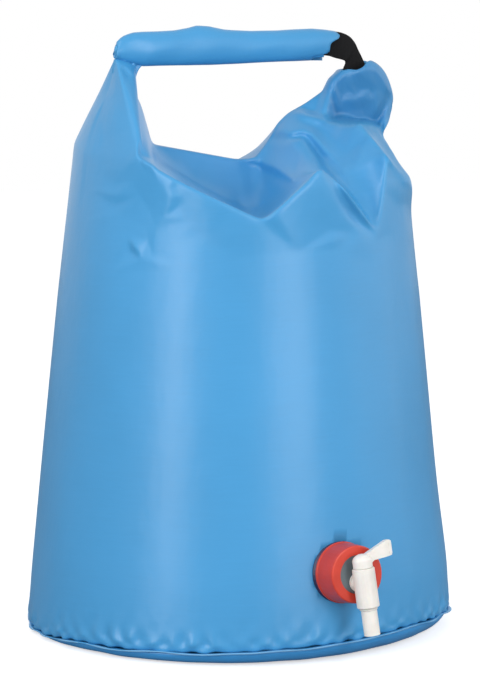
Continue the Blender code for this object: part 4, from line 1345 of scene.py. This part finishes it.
def crease_heights(creases: dict[str, Line], pixels: np.ndarray) -> np.ndarray:
    """Heights of the folds at some pixels, flat between the fold lines.

    Args:
        creases: The fold lines.
        pixels: Rows of pixel x and pixel y.

    Returns:
        Each pixel's height, 0 outside the lines.
    """
    corners: list[Vector] = []
    levels: list[float] = []
    edges: list[tuple[int, int]] = []
    for points in creases.values():
        for step, (x, y, level) in enumerate(points):
            corners.append(Vector((x, y)))
            levels.append(level)
            if step:
                edges.append((len(corners) - 2, len(corners) - 1))
    triangles = geometry.delaunay_2d_cdt(corners, edges, [], 0, PIXEL_WELD)
    out_corners, _, out_faces, from_corners, _, _ = triangles
    out_levels = [
        levels[sources[0]] if sources else level_on_lines(corner, corners, levels, edges)
        for corner, sources in zip(out_corners, from_corners)
    ]
    heights = np.zeros(len(pixels))
    for face in out_faces:
        a, b, c = (np.array(out_corners[i]) for i in face)
        (bx, by), (cx, cy), (px, py) = b - a, c - a, np.transpose(pixels - a)
        area = bx * cy - by * cx
        if abs(area) < NO_AREA:
            continue
        share_b = (px * cy - py * cx) / area
        share_c = (bx * py - by * px) / area
        inside = (share_b >= 0) & (share_c >= 0) & (share_b + share_c <= 1)
        la, lb, lc = (out_levels[i] for i in face)
        heights[inside] = (la + share_b * (lb - la) + share_c * (lc - la))[inside]
    return heights


def level_on_lines(
    point: Vector, corners: list[Vector], levels: list[float], edges: list[tuple[int, int]]
) -> float:
    """Height at a crossing of two lines, from the line that passes nearest.

    Args:
        point: The crossing.
        corners: Ends of the lines.
        levels: Heights at the ends.
        edges: The lines, as pairs of ends.

    Returns:
        The height there.
    """
    nearest, level = math.inf, 0.0
    for first, second in edges:
        spot, share = geometry.intersect_point_line(point, corners[first], corners[second])
        gap = (spot.to_2d() - point).length
        if 0 <= share <= 1 and gap < nearest:
            nearest, level = gap, levels[first] + (levels[second] - levels[first]) * share
    return level


@dataclass
class FootOfBag:
    """The welded hem round the foot and the dished base panel under it."""

    wall: WallSizes
    turns: int = 360
    hem_width: float = 0.0018
    hem_change: Waves = Waves(14, 0.8, 2.6, 41, 0.0007)
    hem_change_turns: float = 2.4
    hem_gap: float = 0.0002
    hem_lift: Waves = Waves(14, 0.6, 2.4, 43, 0.00055)
    hem_lift_turns: float = 2.2
    hem_lift_start: float = 5.0
    hem_root: float = 0.0014
    hem_round: float = 0.0001
    hem_nose: float = 0.0002
    cut_edge_share: float = 0.85
    edge_thickness: float = 0.0009
    # Distance across the hem's section, from the root below to the nose and back above.
    hem_v: tuple[float, ...] = (0, 0.0022, 0.0031, 0.0036, 0.0041, 0.0050, 0.0072, 0.0083)
    base_inset: float = 0.0004
    base_flat_radius: float = 0.128
    base_flat_slope: float = 2.4
    base_flat_limit: float = 0.0045
    base_middle: float = 0.04
    base_ply: float = 0.0010
    base_rings: int = 26
    rim_rings: int = 14
    rim_softness: float = 0.9
    # Share of the way out over the dished rim, and share of its height.
    rim_shape: Line = ((0.0, 0.0), (0.38, 0.05), (0.70, 0.22), (0.93, 0.62), (1.0, 1.0))
    rim_pucker: Waves = Waves(8, 14.0, 40.0, 61, 0.0004)
    rim_pucker_mean: float = 0.00032
    rim_pucker_start: float = 0.100
    rim_pucker_width: float = 0.045
    rim_pucker_end: float = 1.2
    rim_pucker_run: float = 0.3

    def hem(self, finish: bpy.types.Material, cut_edge: bpy.types.Material) -> bpy.types.Object:
        """The thin wavy flange where wall and base are welded together.

        Args:
            finish: The fabric's material.
            cut_edge: The paler material of its cut edge.

        Returns:
            The finished piece.
        """
        angle = np.arange(self.turns) * math.tau / self.turns
        right, back = np.cos(angle), np.sin(angle)
        turns = self.hem_change_turns
        width = self.hem_width + self.hem_change.at(right * turns, back * turns)
        turns, start = self.hem_lift_turns, self.hem_lift_start
        lift = self.hem_lift.at(right * turns + start, back * turns)
        top = self.wall.edge_height + self.hem_gap + lift + self.wall.edge_shift(angle)
        low = top - self.edge_thickness
        foot = self.wall.foot_radius
        section = [
            (foot - self.hem_root, low),
            (foot + width / 2, low),
            (foot + width, low + self.hem_round),
            (foot + width + self.hem_nose, (low + top) / 2),
            (foot + width, top - self.hem_round),
            (foot + width / 2, top),
            (foot - self.hem_root, top),
        ]
        rings = [turned(angle, radius, height) for radius, height in section]
        grid = np.stack(rings + rings[:1], axis=1)
        along = np.arange(self.turns + 1) * math.tau / self.turns * foot
        piece = grid_sheet("hem_flange", grid, along, self.hem_v, closed=True)
        close_up(piece)
        cut_radius = foot + self.hem_width * self.cut_edge_share
        for face in piece.data.polygons:
            face.material_index = int(math.hypot(face.center.x, face.center.y) > cut_radius)
        return dressed(piece, finish, cut_edge)

    def base(self, finish: bpy.types.Material) -> bpy.types.Object:
        """The base panel, dished up at its rim, with faint radial puckers.

        The ring round the middle isn't quite round, so the face that is laid in it covers a part only.

        Args:
            finish: The base fabric's material.

        Returns:
            The finished piece.
        """
        turns = self.turns // 2
        angle = (np.arange(turns) * math.tau / turns)[:, None]
        shift = self.wall.edge_shift(angle)
        edge_radius = self.wall.foot_radius - self.base_inset
        edge_height = self.wall.edge_height - self.edge_thickness + shift
        limited = np.clip(shift, -self.base_flat_limit, self.base_flat_limit)
        flat_edge = self.base_flat_radius - self.base_flat_slope * limited
        outer = np.linspace(0, 1, self.rim_rings)[None, :]
        curved_radius = flat_edge + (edge_radius - flat_edge) * outer
        curved_height = edge_height * np.interp(outer, *np.transpose(self.rim_shape))
        curved_height = bell_blur(curved_height, self.rim_softness, axis=1)
        flat_radius = flat_edge * np.linspace(self.base_middle, 1, self.base_rings)[None, :-1]
        radius = np.concatenate([flat_radius, curved_radius], axis=1)
        height = np.concatenate([np.zeros(flat_radius.shape), curved_height], axis=1)
        pucker = self.rim_pucker.at(angle * self.wall.foot_radius, radius * self.rim_pucker_run)
        rim = np.clip((radius - self.rim_pucker_start) / self.rim_pucker_width, 0, 1) ** 2
        rise = height + (pucker + self.rim_pucker_mean) * rim * np.clip(self.rim_pucker_end - rim, 0, 1)
        grid = turned(angle, radius, np.maximum(rise, 0.0))
        along = np.arange(turns + 1) * math.tau * self.wall.foot_radius / turns
        piece = grid_sheet("base_cloth", grid[:, ::-1], along, radius[0, ::-1], closed=True)
        fill_near_axis(piece)
        thicken(piece, self.base_ply)
        return dressed(piece, finish)


@dataclass
class GripRoll:
    """The mouth of the bag rolled up on itself into a carrying grip."""

    hinge_x: float = -0.09077
    axis_height: float = 0.3984
    length: float = 0.167
    turns: float = 3.2
    turn_points: int = 40
    first_angle: float = 0.5
    pitch: float = 0.00093
    half_height: float = 0.0115
    half_depth: float = 0.0082
    ply: float = 0.0006
    closing_length: float = 0.024
    closing_turns: float = 0.25
    end_half_depth: float = 0.0026
    column_spacing: float = 0.0024
    outer_turns: float = 1.35
    # Where the cloth ends, from the hinge, how far its edge strays, and strays in a turn.
    back_end: tuple[float, float, float] = (0.1565, 0.0012, 3.0)
    inner_end: tuple[float, float, float] = (0.1545, 0.0015, 2.0)
    # Ripples in depth, in metres, and in height, as a share: swing, radians in a metre and in a radian.
    depth_ripple: tuple[float, float, float] = (0.00025, 160.0, 2.0)
    height_ripple: tuple[float, float, float] = (0.02, 90.0, 3.0)
    # Distance from the hinge, and the top and the underside from the roll's axis.
    outline: Line = (
        (-0.0019, -0.0035, -0.0075), (-0.0011, 0.0020, -0.0078), (0.0011, 0.0050, -0.0083),
        (0.0045, 0.0074, -0.0092), (0.0078, 0.0087, -0.0101), (0.0115, 0.0099, -0.0110),
        (0.0187, 0.0105, -0.0124), (0.0300, 0.0107, -0.0122), (0.0420, 0.0112, -0.0122),
        (0.0520, 0.0128, -0.0122), (0.0590, 0.0146, -0.0120), (0.0680, 0.0143, -0.0117),
        (0.0800, 0.0124, -0.0110), (0.1000, 0.0115, -0.0102), (0.1200, 0.0117, -0.0096),
        (0.1350, 0.0128, -0.0090), (0.1480, 0.0136, -0.0082), (0.1580, 0.0130, -0.0082),
        (0.1720, 0.0112, -0.0084),
    )
    # Height from the roll's axis, and where the front of the outer layer ends, from the hinge.
    ragged_end: Line = (
        (-0.0100, 0.1468), (-0.0086, 0.1478), (-0.0080, 0.1500), (-0.0074, 0.1558), (-0.0062, 0.1580),
        (0.0006, 0.1584), (0.0026, 0.1608), (0.0056, 0.1662), (0.0078, 0.1668), (0.0110, 0.1650),
        (0.0140, 0.1630),
    )

    def reach(self, turns: float, angle: float) -> tuple[float, float]:
        """Where one line of the rolled cloth starts and ends.

        Args:
            turns: Turns wound so far, from the core.
            angle: Direction round the roll.

        Returns:
            The two distances from the hinge.
        """
        last_turn = self.turns - 1.0
        closed = (last_turn - self.closing_turns, last_turn)
        start = float(np.interp(turns, closed, (self.closing_length, self.outline[0][0])))
        if turns <= self.turns - self.outer_turns:
            end, stray, rate = self.inner_end
            return start, end + stray * math.sin(rate * angle + turns)
        if math.sin(angle) < 0:
            heights, ends = np.transpose(self.ragged_end)
            return start, float(np.interp(-self.half_height * math.cos(angle), heights, ends))
        end, stray, rate = self.back_end
        return start, end + stray * math.sin(rate * angle)

    def build(self, finish: bpy.types.Material) -> bpy.types.Object:
        """Winds the rolled cloth.

        Args:
            finish: The fabric's material.

        Returns:
            The finished piece.
        """
        total = int(self.turns * self.turn_points)
        share = np.linspace(0, 1, int(self.length / self.column_spacing) + 1)
        stations, tops, lows = np.transpose(self.outline)
        grid = np.zeros((total + 1, len(share), 3))
        for step in range(total + 1):
            turns = step / self.turn_points
            angle = math.tau * turns + self.first_angle
            inward = (self.turns - turns) * self.pitch
            start, end = self.reach(turns, angle)
            x = start + (end - start) * share
            top = np.interp(x, stations, tops) - inward
            low = np.interp(x, stations, lows) + inward
            closing = eased(x / self.closing_length)
            depth = self.end_half_depth + (self.half_depth - inward - self.end_half_depth) * np.sqrt(closing)
            swing, rate, turning = self.depth_ripple
            depth += swing * np.sin(x * rate + angle * turning) * closing
            swing, rate, turning = self.height_ripple
            half = (top - low) / 2 * (1 + swing * np.sin(x * rate + angle * turning))
            grid[step, :, 0] = self.hinge_x + x
            grid[step, :, 1] = math.sin(angle) * depth
            grid[step, :, 2] = self.axis_height + (top + low) / 2 - half * math.cos(angle)
        along = run_along(grid[:, (len(share) - 1) // 2])
        piece = grid_sheet("grip_roll", grid[:, ::-1], along, share[::-1] * self.length)
        thicken(piece, self.ply)
        return dressed(piece, finish)


@dataclass
class ElbowStrap:
    """Webbing that leaves the roll, turns down in one flat bend and covers the buckle's bar."""

    roll: GripRoll
    half_width: float = 0.0085
    thickness: float = 0.0014
    bevel: float = 0.0003
    front_y: float = -0.0019
    core_y: float = -0.0004
    leaving_x: float = 0.156
    leaving_length: float = 0.010
    crown: float = 0.0006
    # Station and spread of the bend, and how far it stands out at its lower edge and less at its upper one.
    elbow_station: float = 6.4
    elbow_spread: float = 0.55
    elbow_depth: float = 0.0009
    elbow_fade: float = 0.4
    edge_softness: float = 1.3
    rows: int = 15
    steps: int = 52
    # The lower and the upper edge at the same stations: mm across from the hinge and up from the axis.
    low_edge: Line = (
        (132, -5.0), (150, -5.0), (158, -5.2), (161.2, -5.6), (165.7, -7.1), (169.6, -7.8), (172.6, -8.6),
        (174.0, -9.9), (173.4, -11.5), (172.4, -13.5), (171.2, -16.5), (170.4, -21.0),
    )
    high_edge: Line = (
        (132, 10.5), (150, 10.8), (160, 11.3), (167.3, 11.3), (173.0, 9.9), (177.4, 7.7), (180.0, 4.9),
        (182.6, 0.5), (186.3, -5.7), (188.8, -10.4), (190.6, -15.5), (191.8, -20.5),
    )

    def build(self, finish: bpy.types.Material) -> bpy.types.Object:
        """Bends the strap between its edges.

        Args:
            finish: The webbing's material.

        Returns:
            The finished piece.
        """
        edges = np.hstack([self.low_edge, self.high_edge]) * MM
        places = np.linspace(0, len(edges) - 1, self.steps)
        edges = bell_blur(resampled(edges, places), self.edge_softness)
        low, high = edges[:, :2], edges[:, 2:]
        middle = (low + high) / 2
        out = eased((middle[:, 0] - self.leaving_x) / self.leaving_length)
        y = self.core_y + (self.front_y - self.core_y) * out
        elbow = self.elbow_depth * np.exp(-(((places - self.elbow_station) / self.elbow_spread) ** 2))
        spread = np.linspace(-1, 1, self.rows)
        grid = np.zeros((self.steps, self.rows, 3))
        for row, share in enumerate(spread):
            mix = (share + 1) / 2
            grid[:, row, 0] = self.roll.hinge_x + low[:, 0] * (1 - mix) + high[:, 0] * mix
            crown = self.crown * (1 - share * share) * out
            grid[:, row, 1] = y - crown - elbow * (1 - mix * self.elbow_fade)
            grid[:, row, 2] = self.roll.axis_height + low[:, 1] * (1 - mix) + high[:, 1] * mix
        piece = grid_sheet("elbow_strap", grid, run_along(middle), spread * self.half_width)
        thicken(piece, self.thickness, 0.0, self.bevel)
        close_up(piece)
        return dressed(piece, finish)


@dataclass
class RollEnd:
    """The tucked-in cloth that closes the roll's end at the hinge."""

    middle: tuple[float, float, float] = (-0.0919, 0.0, 0.3953)
    half_height: float = 0.0044
    half_depth: float = 0.0027
    dome: float = 0.0012
    core_share: float = 0.08
    rings: int = 7
    turns: int = 28
    ply: float = 0.0004

    def build(self, finish: bpy.types.Material) -> bpy.types.Object:
        """Domes a small cushion over the end.

        All its points lie about as far from the bag's axis, so one call closes its middle and its back.

        Args:
            finish: The fabric's material.

        Returns:
            The finished piece.
        """
        angle = (np.arange(self.turns) * math.tau / self.turns)[:, None]
        radius = np.linspace(1, self.core_share, self.rings)
        x = np.broadcast_to(self.middle[0] - self.dome * (1 - radius**2), (self.turns, self.rings))
        y = self.middle[1] - np.sin(angle) * radius * self.half_depth
        z = self.middle[2] + np.cos(angle) * radius * self.half_height
        along = np.arange(self.turns + 1) * math.tau * self.half_height / self.turns
        grid = np.stack([x, y, z], axis=-1)
        piece = grid_sheet("roll_end", grid, along, radius * self.half_height, closed=True)
        fill_near_axis(piece)
        thicken(piece, self.ply)
        return dressed(piece, finish)


@dataclass
class RollGusset:
    """The pinched web of fabric between the roll's end and the leg, which opens like a fan."""

    blend_x: float = -0.0905
    blend_low: float = 0.3850
    blend_high: float = 0.3975
    # The web's two sides from below upwards: mm across and mm above the floor.
    outer: Line = ((-88.6, 370.0), (-90.4, 384.0), (-91.3, 390.5), (-91.6, 395.0), (-90.6, 399.0))
    inner: Line = (
        (-79.4, 369.0), (-77.4, 379.6), (-75.3, 383.8), (-71.9, 387.0), (-71.0, 390.0), (-79.0, 394.5),
        (-84.0, 398.6),
    )
    side_softness: float = 1.2
    flat_size: tuple[float, float] = (0.020, 0.022)
    columns: int = 22
    rows: int = 34
    middle_y: float = -0.0004
    pleat: float = 0.0011
    pleats: float = 2.6
    pleat_slant: float = 0.8
    thickness: float = 0.0007

    def build(self, finish: bpy.types.Material) -> bpy.types.Object:
        """Stretches the web between its sides.

        Args:
            finish: The fabric's material.

        Returns:
            The finished piece.
        """
        rise = np.linspace(0, 1, self.rows)
        outer, inner = (
            bell_blur(resampled(np.array(side) * MM, rise * (len(side) - 1)), self.side_softness)
            for side in (self.outer, self.inner)
        )
        share = np.linspace(0, 1, self.columns)[:, None]
        place = outer * (1 - share[:, :, None]) + inner * share[:, :, None]
        waves = np.sin(share * self.pleats * math.tau + rise * self.pleat_slant)
        y = self.middle_y + waves * self.pleat * np.sin(share * math.pi)
        grid = np.stack([place[:, :, 0], y, place[:, :, 1]], axis=-1)
        wide, tall = self.flat_size
        piece = grid_sheet("roll_gusset", grid, share[:, 0] * wide, rise * tall)
        thicken(piece, self.thickness, 0.0)
        close_up(piece)
        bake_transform(piece)
        return dressed(piece, finish)


@dataclass
class MouthStrip:
    """The stiff slat that the mouth is rolled round."""

    low: tuple[float, float, float] = (-0.0848, -0.0006, 0.3906)
    high: tuple[float, float, float] = (0.0590, 0.0006, 0.4062)
    edge: float = 0.00035
    sharpest: float = math.radians(35)

    def build(self, finish: bpy.types.Material) -> bpy.types.Object:
        """Shapes the slat with its rounded edges.

        Args:
            finish: The slat's material.

        Returns:
            The finished piece.
        """
        bpy.ops.object.select_all(action="DESELECT")
        bpy.ops.mesh.primitive_cube_add(size=1.0)
        piece = bpy.context.object
        piece.name = piece.data.name = "mouth_slat"
        low, high = np.array(self.low), np.array(self.high)
        with editing(piece):
            bpy.ops.transform.resize(value=tuple(high - low))
            bpy.ops.transform.translate(value=tuple((low + high) / 2))
            bpy.ops.mesh.bevel(offset=self.edge, segments=2, affect="EDGES")
        bpy.ops.object.shade_smooth_by_angle(angle=self.sharpest)
        bpy.ops.object.select_all(action="DESELECT")
        return dressed(piece, finish)


@dataclass
class EarLoop:
    """Webbing sewn into the ear that loops over the buckle's bar."""

    bar: tuple[float, float] = (0.0883, 0.3520)
    lean: float = math.radians(9.95)
    half_width: float = 0.0085
    thickness: float = 0.0012
    loop: float = 0.0019
    flare: float = 0.05
    softness: float = 0.8
    leg_points: int = 18
    arc_points: int = 13
    columns: int = 9
    # One leg from its end up to the bar: mm out of the middle and mm up from the bar.
    leg: Line = ((0.75, -23.8), (0.8, -16.0), (0.75, -8.0), (1.3, -5.2), (1.9, -3.0))

    def build(self, finish: bpy.types.Material) -> bpy.types.Object:
        """Loops the strap over the bar.

        Args:
            finish: The webbing's material.

        Returns:
            The finished piece.
        """
        leg = resampled(np.array(self.leg) * MM, np.linspace(0, len(self.leg) - 1, self.leg_points))
        turn = np.linspace(math.pi, 0, self.arc_points)
        arc = np.stack([np.cos(turn), np.sin(turn)], axis=-1) * self.loop
        path = bell_blur(np.concatenate([leg * (-1, 1), arc, leg[::-1]]), self.softness)
        spread = np.linspace(-1, 1, self.columns)
        side = spread * self.half_width
        up = path[:, 1:]
        sine, cosine = math.sin(self.lean), math.cos(self.lean)
        x = self.bar[0] + cosine * side + sine * up
        y = path[:, :1] * (1 + self.flare * spread * spread)
        z = self.bar[1] - sine * side + cosine * up
        piece = grid_sheet("ear_loop", np.stack([x, y, z], axis=-1), run_along(path), side)
        thicken(piece, self.thickness, 0.0)
        close_up(piece)
        return dressed(piece, finish)


@dataclass
class SeamTape:
    """The tape welded over the wall's seam, on the inside."""

    skin: BagSkin
    low: float = 0.0200
    high: float = 0.2150
    half_width: float = 0.0080
    width_change: Waves = Waves(9, 30.0, 110.0, 77, 0.00035)
    gap: float = 0.0010
    thickness: float = 0.0006
    rows: int = 60
    columns: int = 11

    def build(self, finish: bpy.types.Material) -> bpy.types.Object:
        """Lays the tape along the inside of the wall.

        Args:
            finish: The fabric's material.

        Returns:
            The finished piece.
        """
        wall = self.skin.wall
        height = np.linspace(self.low, self.high, self.rows)[:, None]
        spread = np.linspace(-1, 1, self.columns)
        half = self.half_width + self.width_change.at(height, 0.0)
        angle = math.pi / 2 + spread * half / wall.radius(self.low)
        back = angle + math.tau
        radius = wall.radius(height) - self.gap - self.skin.seam_rise
        radius = radius + self.skin.bulging(back, height) + self.skin.wall_dents(back, height)
        grid = turned(angle, radius, height)
        piece = grid_sheet("seam_strip", grid, height[:, 0], spread * self.half_width)
        thicken(piece, self.thickness)
        close_up(piece)
        self.skin.fold_down(piece)
        return dressed(piece, finish)


# Studio


@dataclass(frozen=True)
class SoftBox:
    """A tall rectangular lamp that faces the middle of the bag."""

    name: str
    turn: float
    distance: float
    height: float
    width: float
    tall: float
    power: float

    def build(self, aim: Vector) -> None:
        """Adds the lamp.

        Args:
            aim: The point that it faces.
        """
        data = bpy.data.lights.new(self.name, "AREA")
        data.shape = "RECTANGLE"
        data.size = self.width
        data.size_y = self.tall
        data.energy = self.power
        lamp = bpy.data.objects.new(self.name, data)
        bpy.context.scene.collection.objects.link(lamp)
        angle = math.radians(self.turn)
        lamp.location = (math.sin(angle) * self.distance, -math.cos(angle) * self.distance, self.height)
        lamp.rotation_euler = (aim - lamp.location).to_track_quat("-Z", "Y").to_euler()


@dataclass(frozen=True)
class Studio:
    """Pale floor, white surroundings and soft lamps."""

    floor_half: float = 6.0
    floor_height: float = -0.0002
    floor_colour: Colour = (0.82, 0.82, 0.82)
    floor_shade: float = 0.99
    floor_stops: tuple[float, float] = (0.3, 0.7)
    floor_grain: float = 30.0
    floor_roughness: float = 0.9
    floor_glow: float = 0.58
    floor_bounce: Colour = (0.34, 0.34, 0.35)
    fill: float = 0.50
    aim_height: float = 0.2
    lamps: tuple[SoftBox, ...] = (
        SoftBox("left_box", -65.0, 1.8, 0.60, 0.42, 1.7, 18.0),
        SoftBox("right_box", 5.0, 1.8, 0.60, 0.60, 1.7, 17.0),
        SoftBox("side_box", 62.0, 2.0, 0.70, 1.8, 1.7, 10.0),
        SoftBox("top_box", -88.0, 1.4, 1.7, 0.8, 0.8, 4.0),
    )

    def build(self) -> None:
        """Adds the floor, the world and the lamps."""
        for lamp in self.lamps:
            lamp.build(Vector((0, 0, self.aim_height)))
        self.build_floor()
        self.build_world()
        bpy.context.scene.view_settings.view_transform = "Standard"

    def build_floor(self) -> None:
        """A wide pale floor just under the bag, seen bright and bouncing less light than it shows."""
        half, height = self.floor_half, self.floor_height
        corners = np.array([(x * half, y * half, height) for x, y in ((-1, -1), (1, -1), (1, 1), (-1, 1))])
        floor = piece_from("floor", corners, [(0, 1, 2, 3)])
        nodes = Nodes("floor")
        grain = nodes.noise(nodes.here(), self.floor_grain)
        tones = tinted(self.floor_colour, self.floor_shade), self.floor_colour
        pale = nodes.ramp(grain, zip(self.floor_stops, tones))
        nodes.surface({"Base Color": pale, "Roughness": self.floor_roughness})
        glow = nodes.add("Emission", {"Strength": self.floor_glow}).outputs[0]
        shown = nodes.joined("AddShader", nodes.shader.outputs[0], glow)
        dull = nodes.add("BsdfDiffuse", {"Color": (*self.floor_bounce, 1.0)}).outputs[0]
        seen = nodes.add("LightPath").outputs["Is Camera Ray"]
        output = nodes.tree.nodes["Material Output"]
        nodes.feed(output.inputs["Surface"], nodes.joined("MixShader", seen, dull, shown))
        floor.data.materials.append(nodes.material)

    def build_world(self) -> None:
        """White where the camera sees it, and an even fill on the object."""
        world = bpy.data.worlds.new("studio")
        bpy.context.scene.world = world
        nodes = Nodes("studio", world)
        paths = nodes.add("LightPath").outputs
        seen, *others = (paths[f"Is {kind} Ray"] for kind in ("Camera", "Transmission", "Glossy"))
        for other in others:
            seen = nodes.joined("Math", seen, other, operation="MAXIMUM")
        fill, white = (
            nodes.add("Background", {"Color": (1, 1, 1, 1), "Strength": strength}).outputs[0]
            for strength in (self.fill, 1.0)
        )
        nodes.add("OutputWorld", {"Surface": nodes.joined("MixShader", seen, fill, white)})


# Whole object


def main() -> None:
    """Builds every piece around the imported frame."""
    logging.basicConfig(level=logging.INFO, format="%(name)s: %(message)s")
    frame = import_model()
    camera = PhotoCamera()
    camera.build()
    finishes = {
        finish.name: finish.build()
        for finish in (
            CoatedNylon(),
            # The base's cloth is the wall's fabric made lighter and bluer: painted light that lifts the
            # downward-facing base out of its shade.
            CoatedNylon("base_fabric", (0.050, 0.320, 0.710)),
            CoatedNylon("cut_edge", (0.16, 0.40, 0.66), roughness=0.5),
            WovenStrap(),
            MouldedPlastic("strip_plastic", (0.75, 0.76, 0.78), 0.45),
            MouldedPlastic("navy_plastic", (0.010, 0.018, 0.075), 0.40),
            MouldedPlastic("red_plastic", (0.60, 0.045, 0.022), 0.36),
            MouldedPlastic("white_plastic", (0.82, 0.79, 0.74), 0.36, subsurface=0.1),
            MouldedPlastic("grey_plastic", (0.13, 0.17, 0.19), 0.5),
            MouldedPlastic("black_plastic", (0.008, 0.008, 0.009), 0.30),
        )
    }
    wall = WallSizes()
    skin = BagSkin(wall, camera)
    foot = FootOfBag(wall)
    roll = GripRoll()
    fabric, webbing = finishes["coated_fabric"], finishes["black_webbing"]
    # Each piece with the body that it rides on, if any, the nodes it stands for and its slot.
    for piece, body, nodes, slot in (
        (skin.build(fabric), None, ("lower_wall", "upper_wall"), "coated_fabric"),
        (SeamTape(skin).build(fabric), None, ("seam_tape",), "coated_fabric"),
        (RollGusset().build(fabric), None, (), "coated_fabric"),
        (RollEnd().build(fabric), "handle", (), "coated_fabric"),
        (foot.hem(fabric, finishes["cut_edge"]), "lower_bag", ("base_hem",), "coated_fabric"),
        (foot.base(finishes["base_fabric"]), "lower_bag", ("base_panel",), "base_fabric"),
        (roll.build(fabric), "handle", ("mouth_roll",), "coated_fabric"),
        (ElbowStrap(roll).build(webbing), "handle", ("roll_webbing",), "black_webbing"),
        (MouthStrip().build(finishes["strip_plastic"]), "handle", ("mouth_strip",), "strip_plastic"),
        (EarLoop().build(webbing), "upper_bag", ("ear_webbing",), "black_webbing"),
    ):
        if body:
            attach(piece, body)
        if nodes:
            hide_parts(*nodes)
        log.info("%s: %d faces", piece.name, len(piece.data.polygons))
    slots = {part["node"]: part["material_slot"] for part in frame["record"]["subparts"]}
    for name, node in frame["nodes"].items():
        node.data.materials.clear()
        node.data.materials.append(finishes[slots[name]])
    Studio().build()


if __name__ == "__main__":
    main()
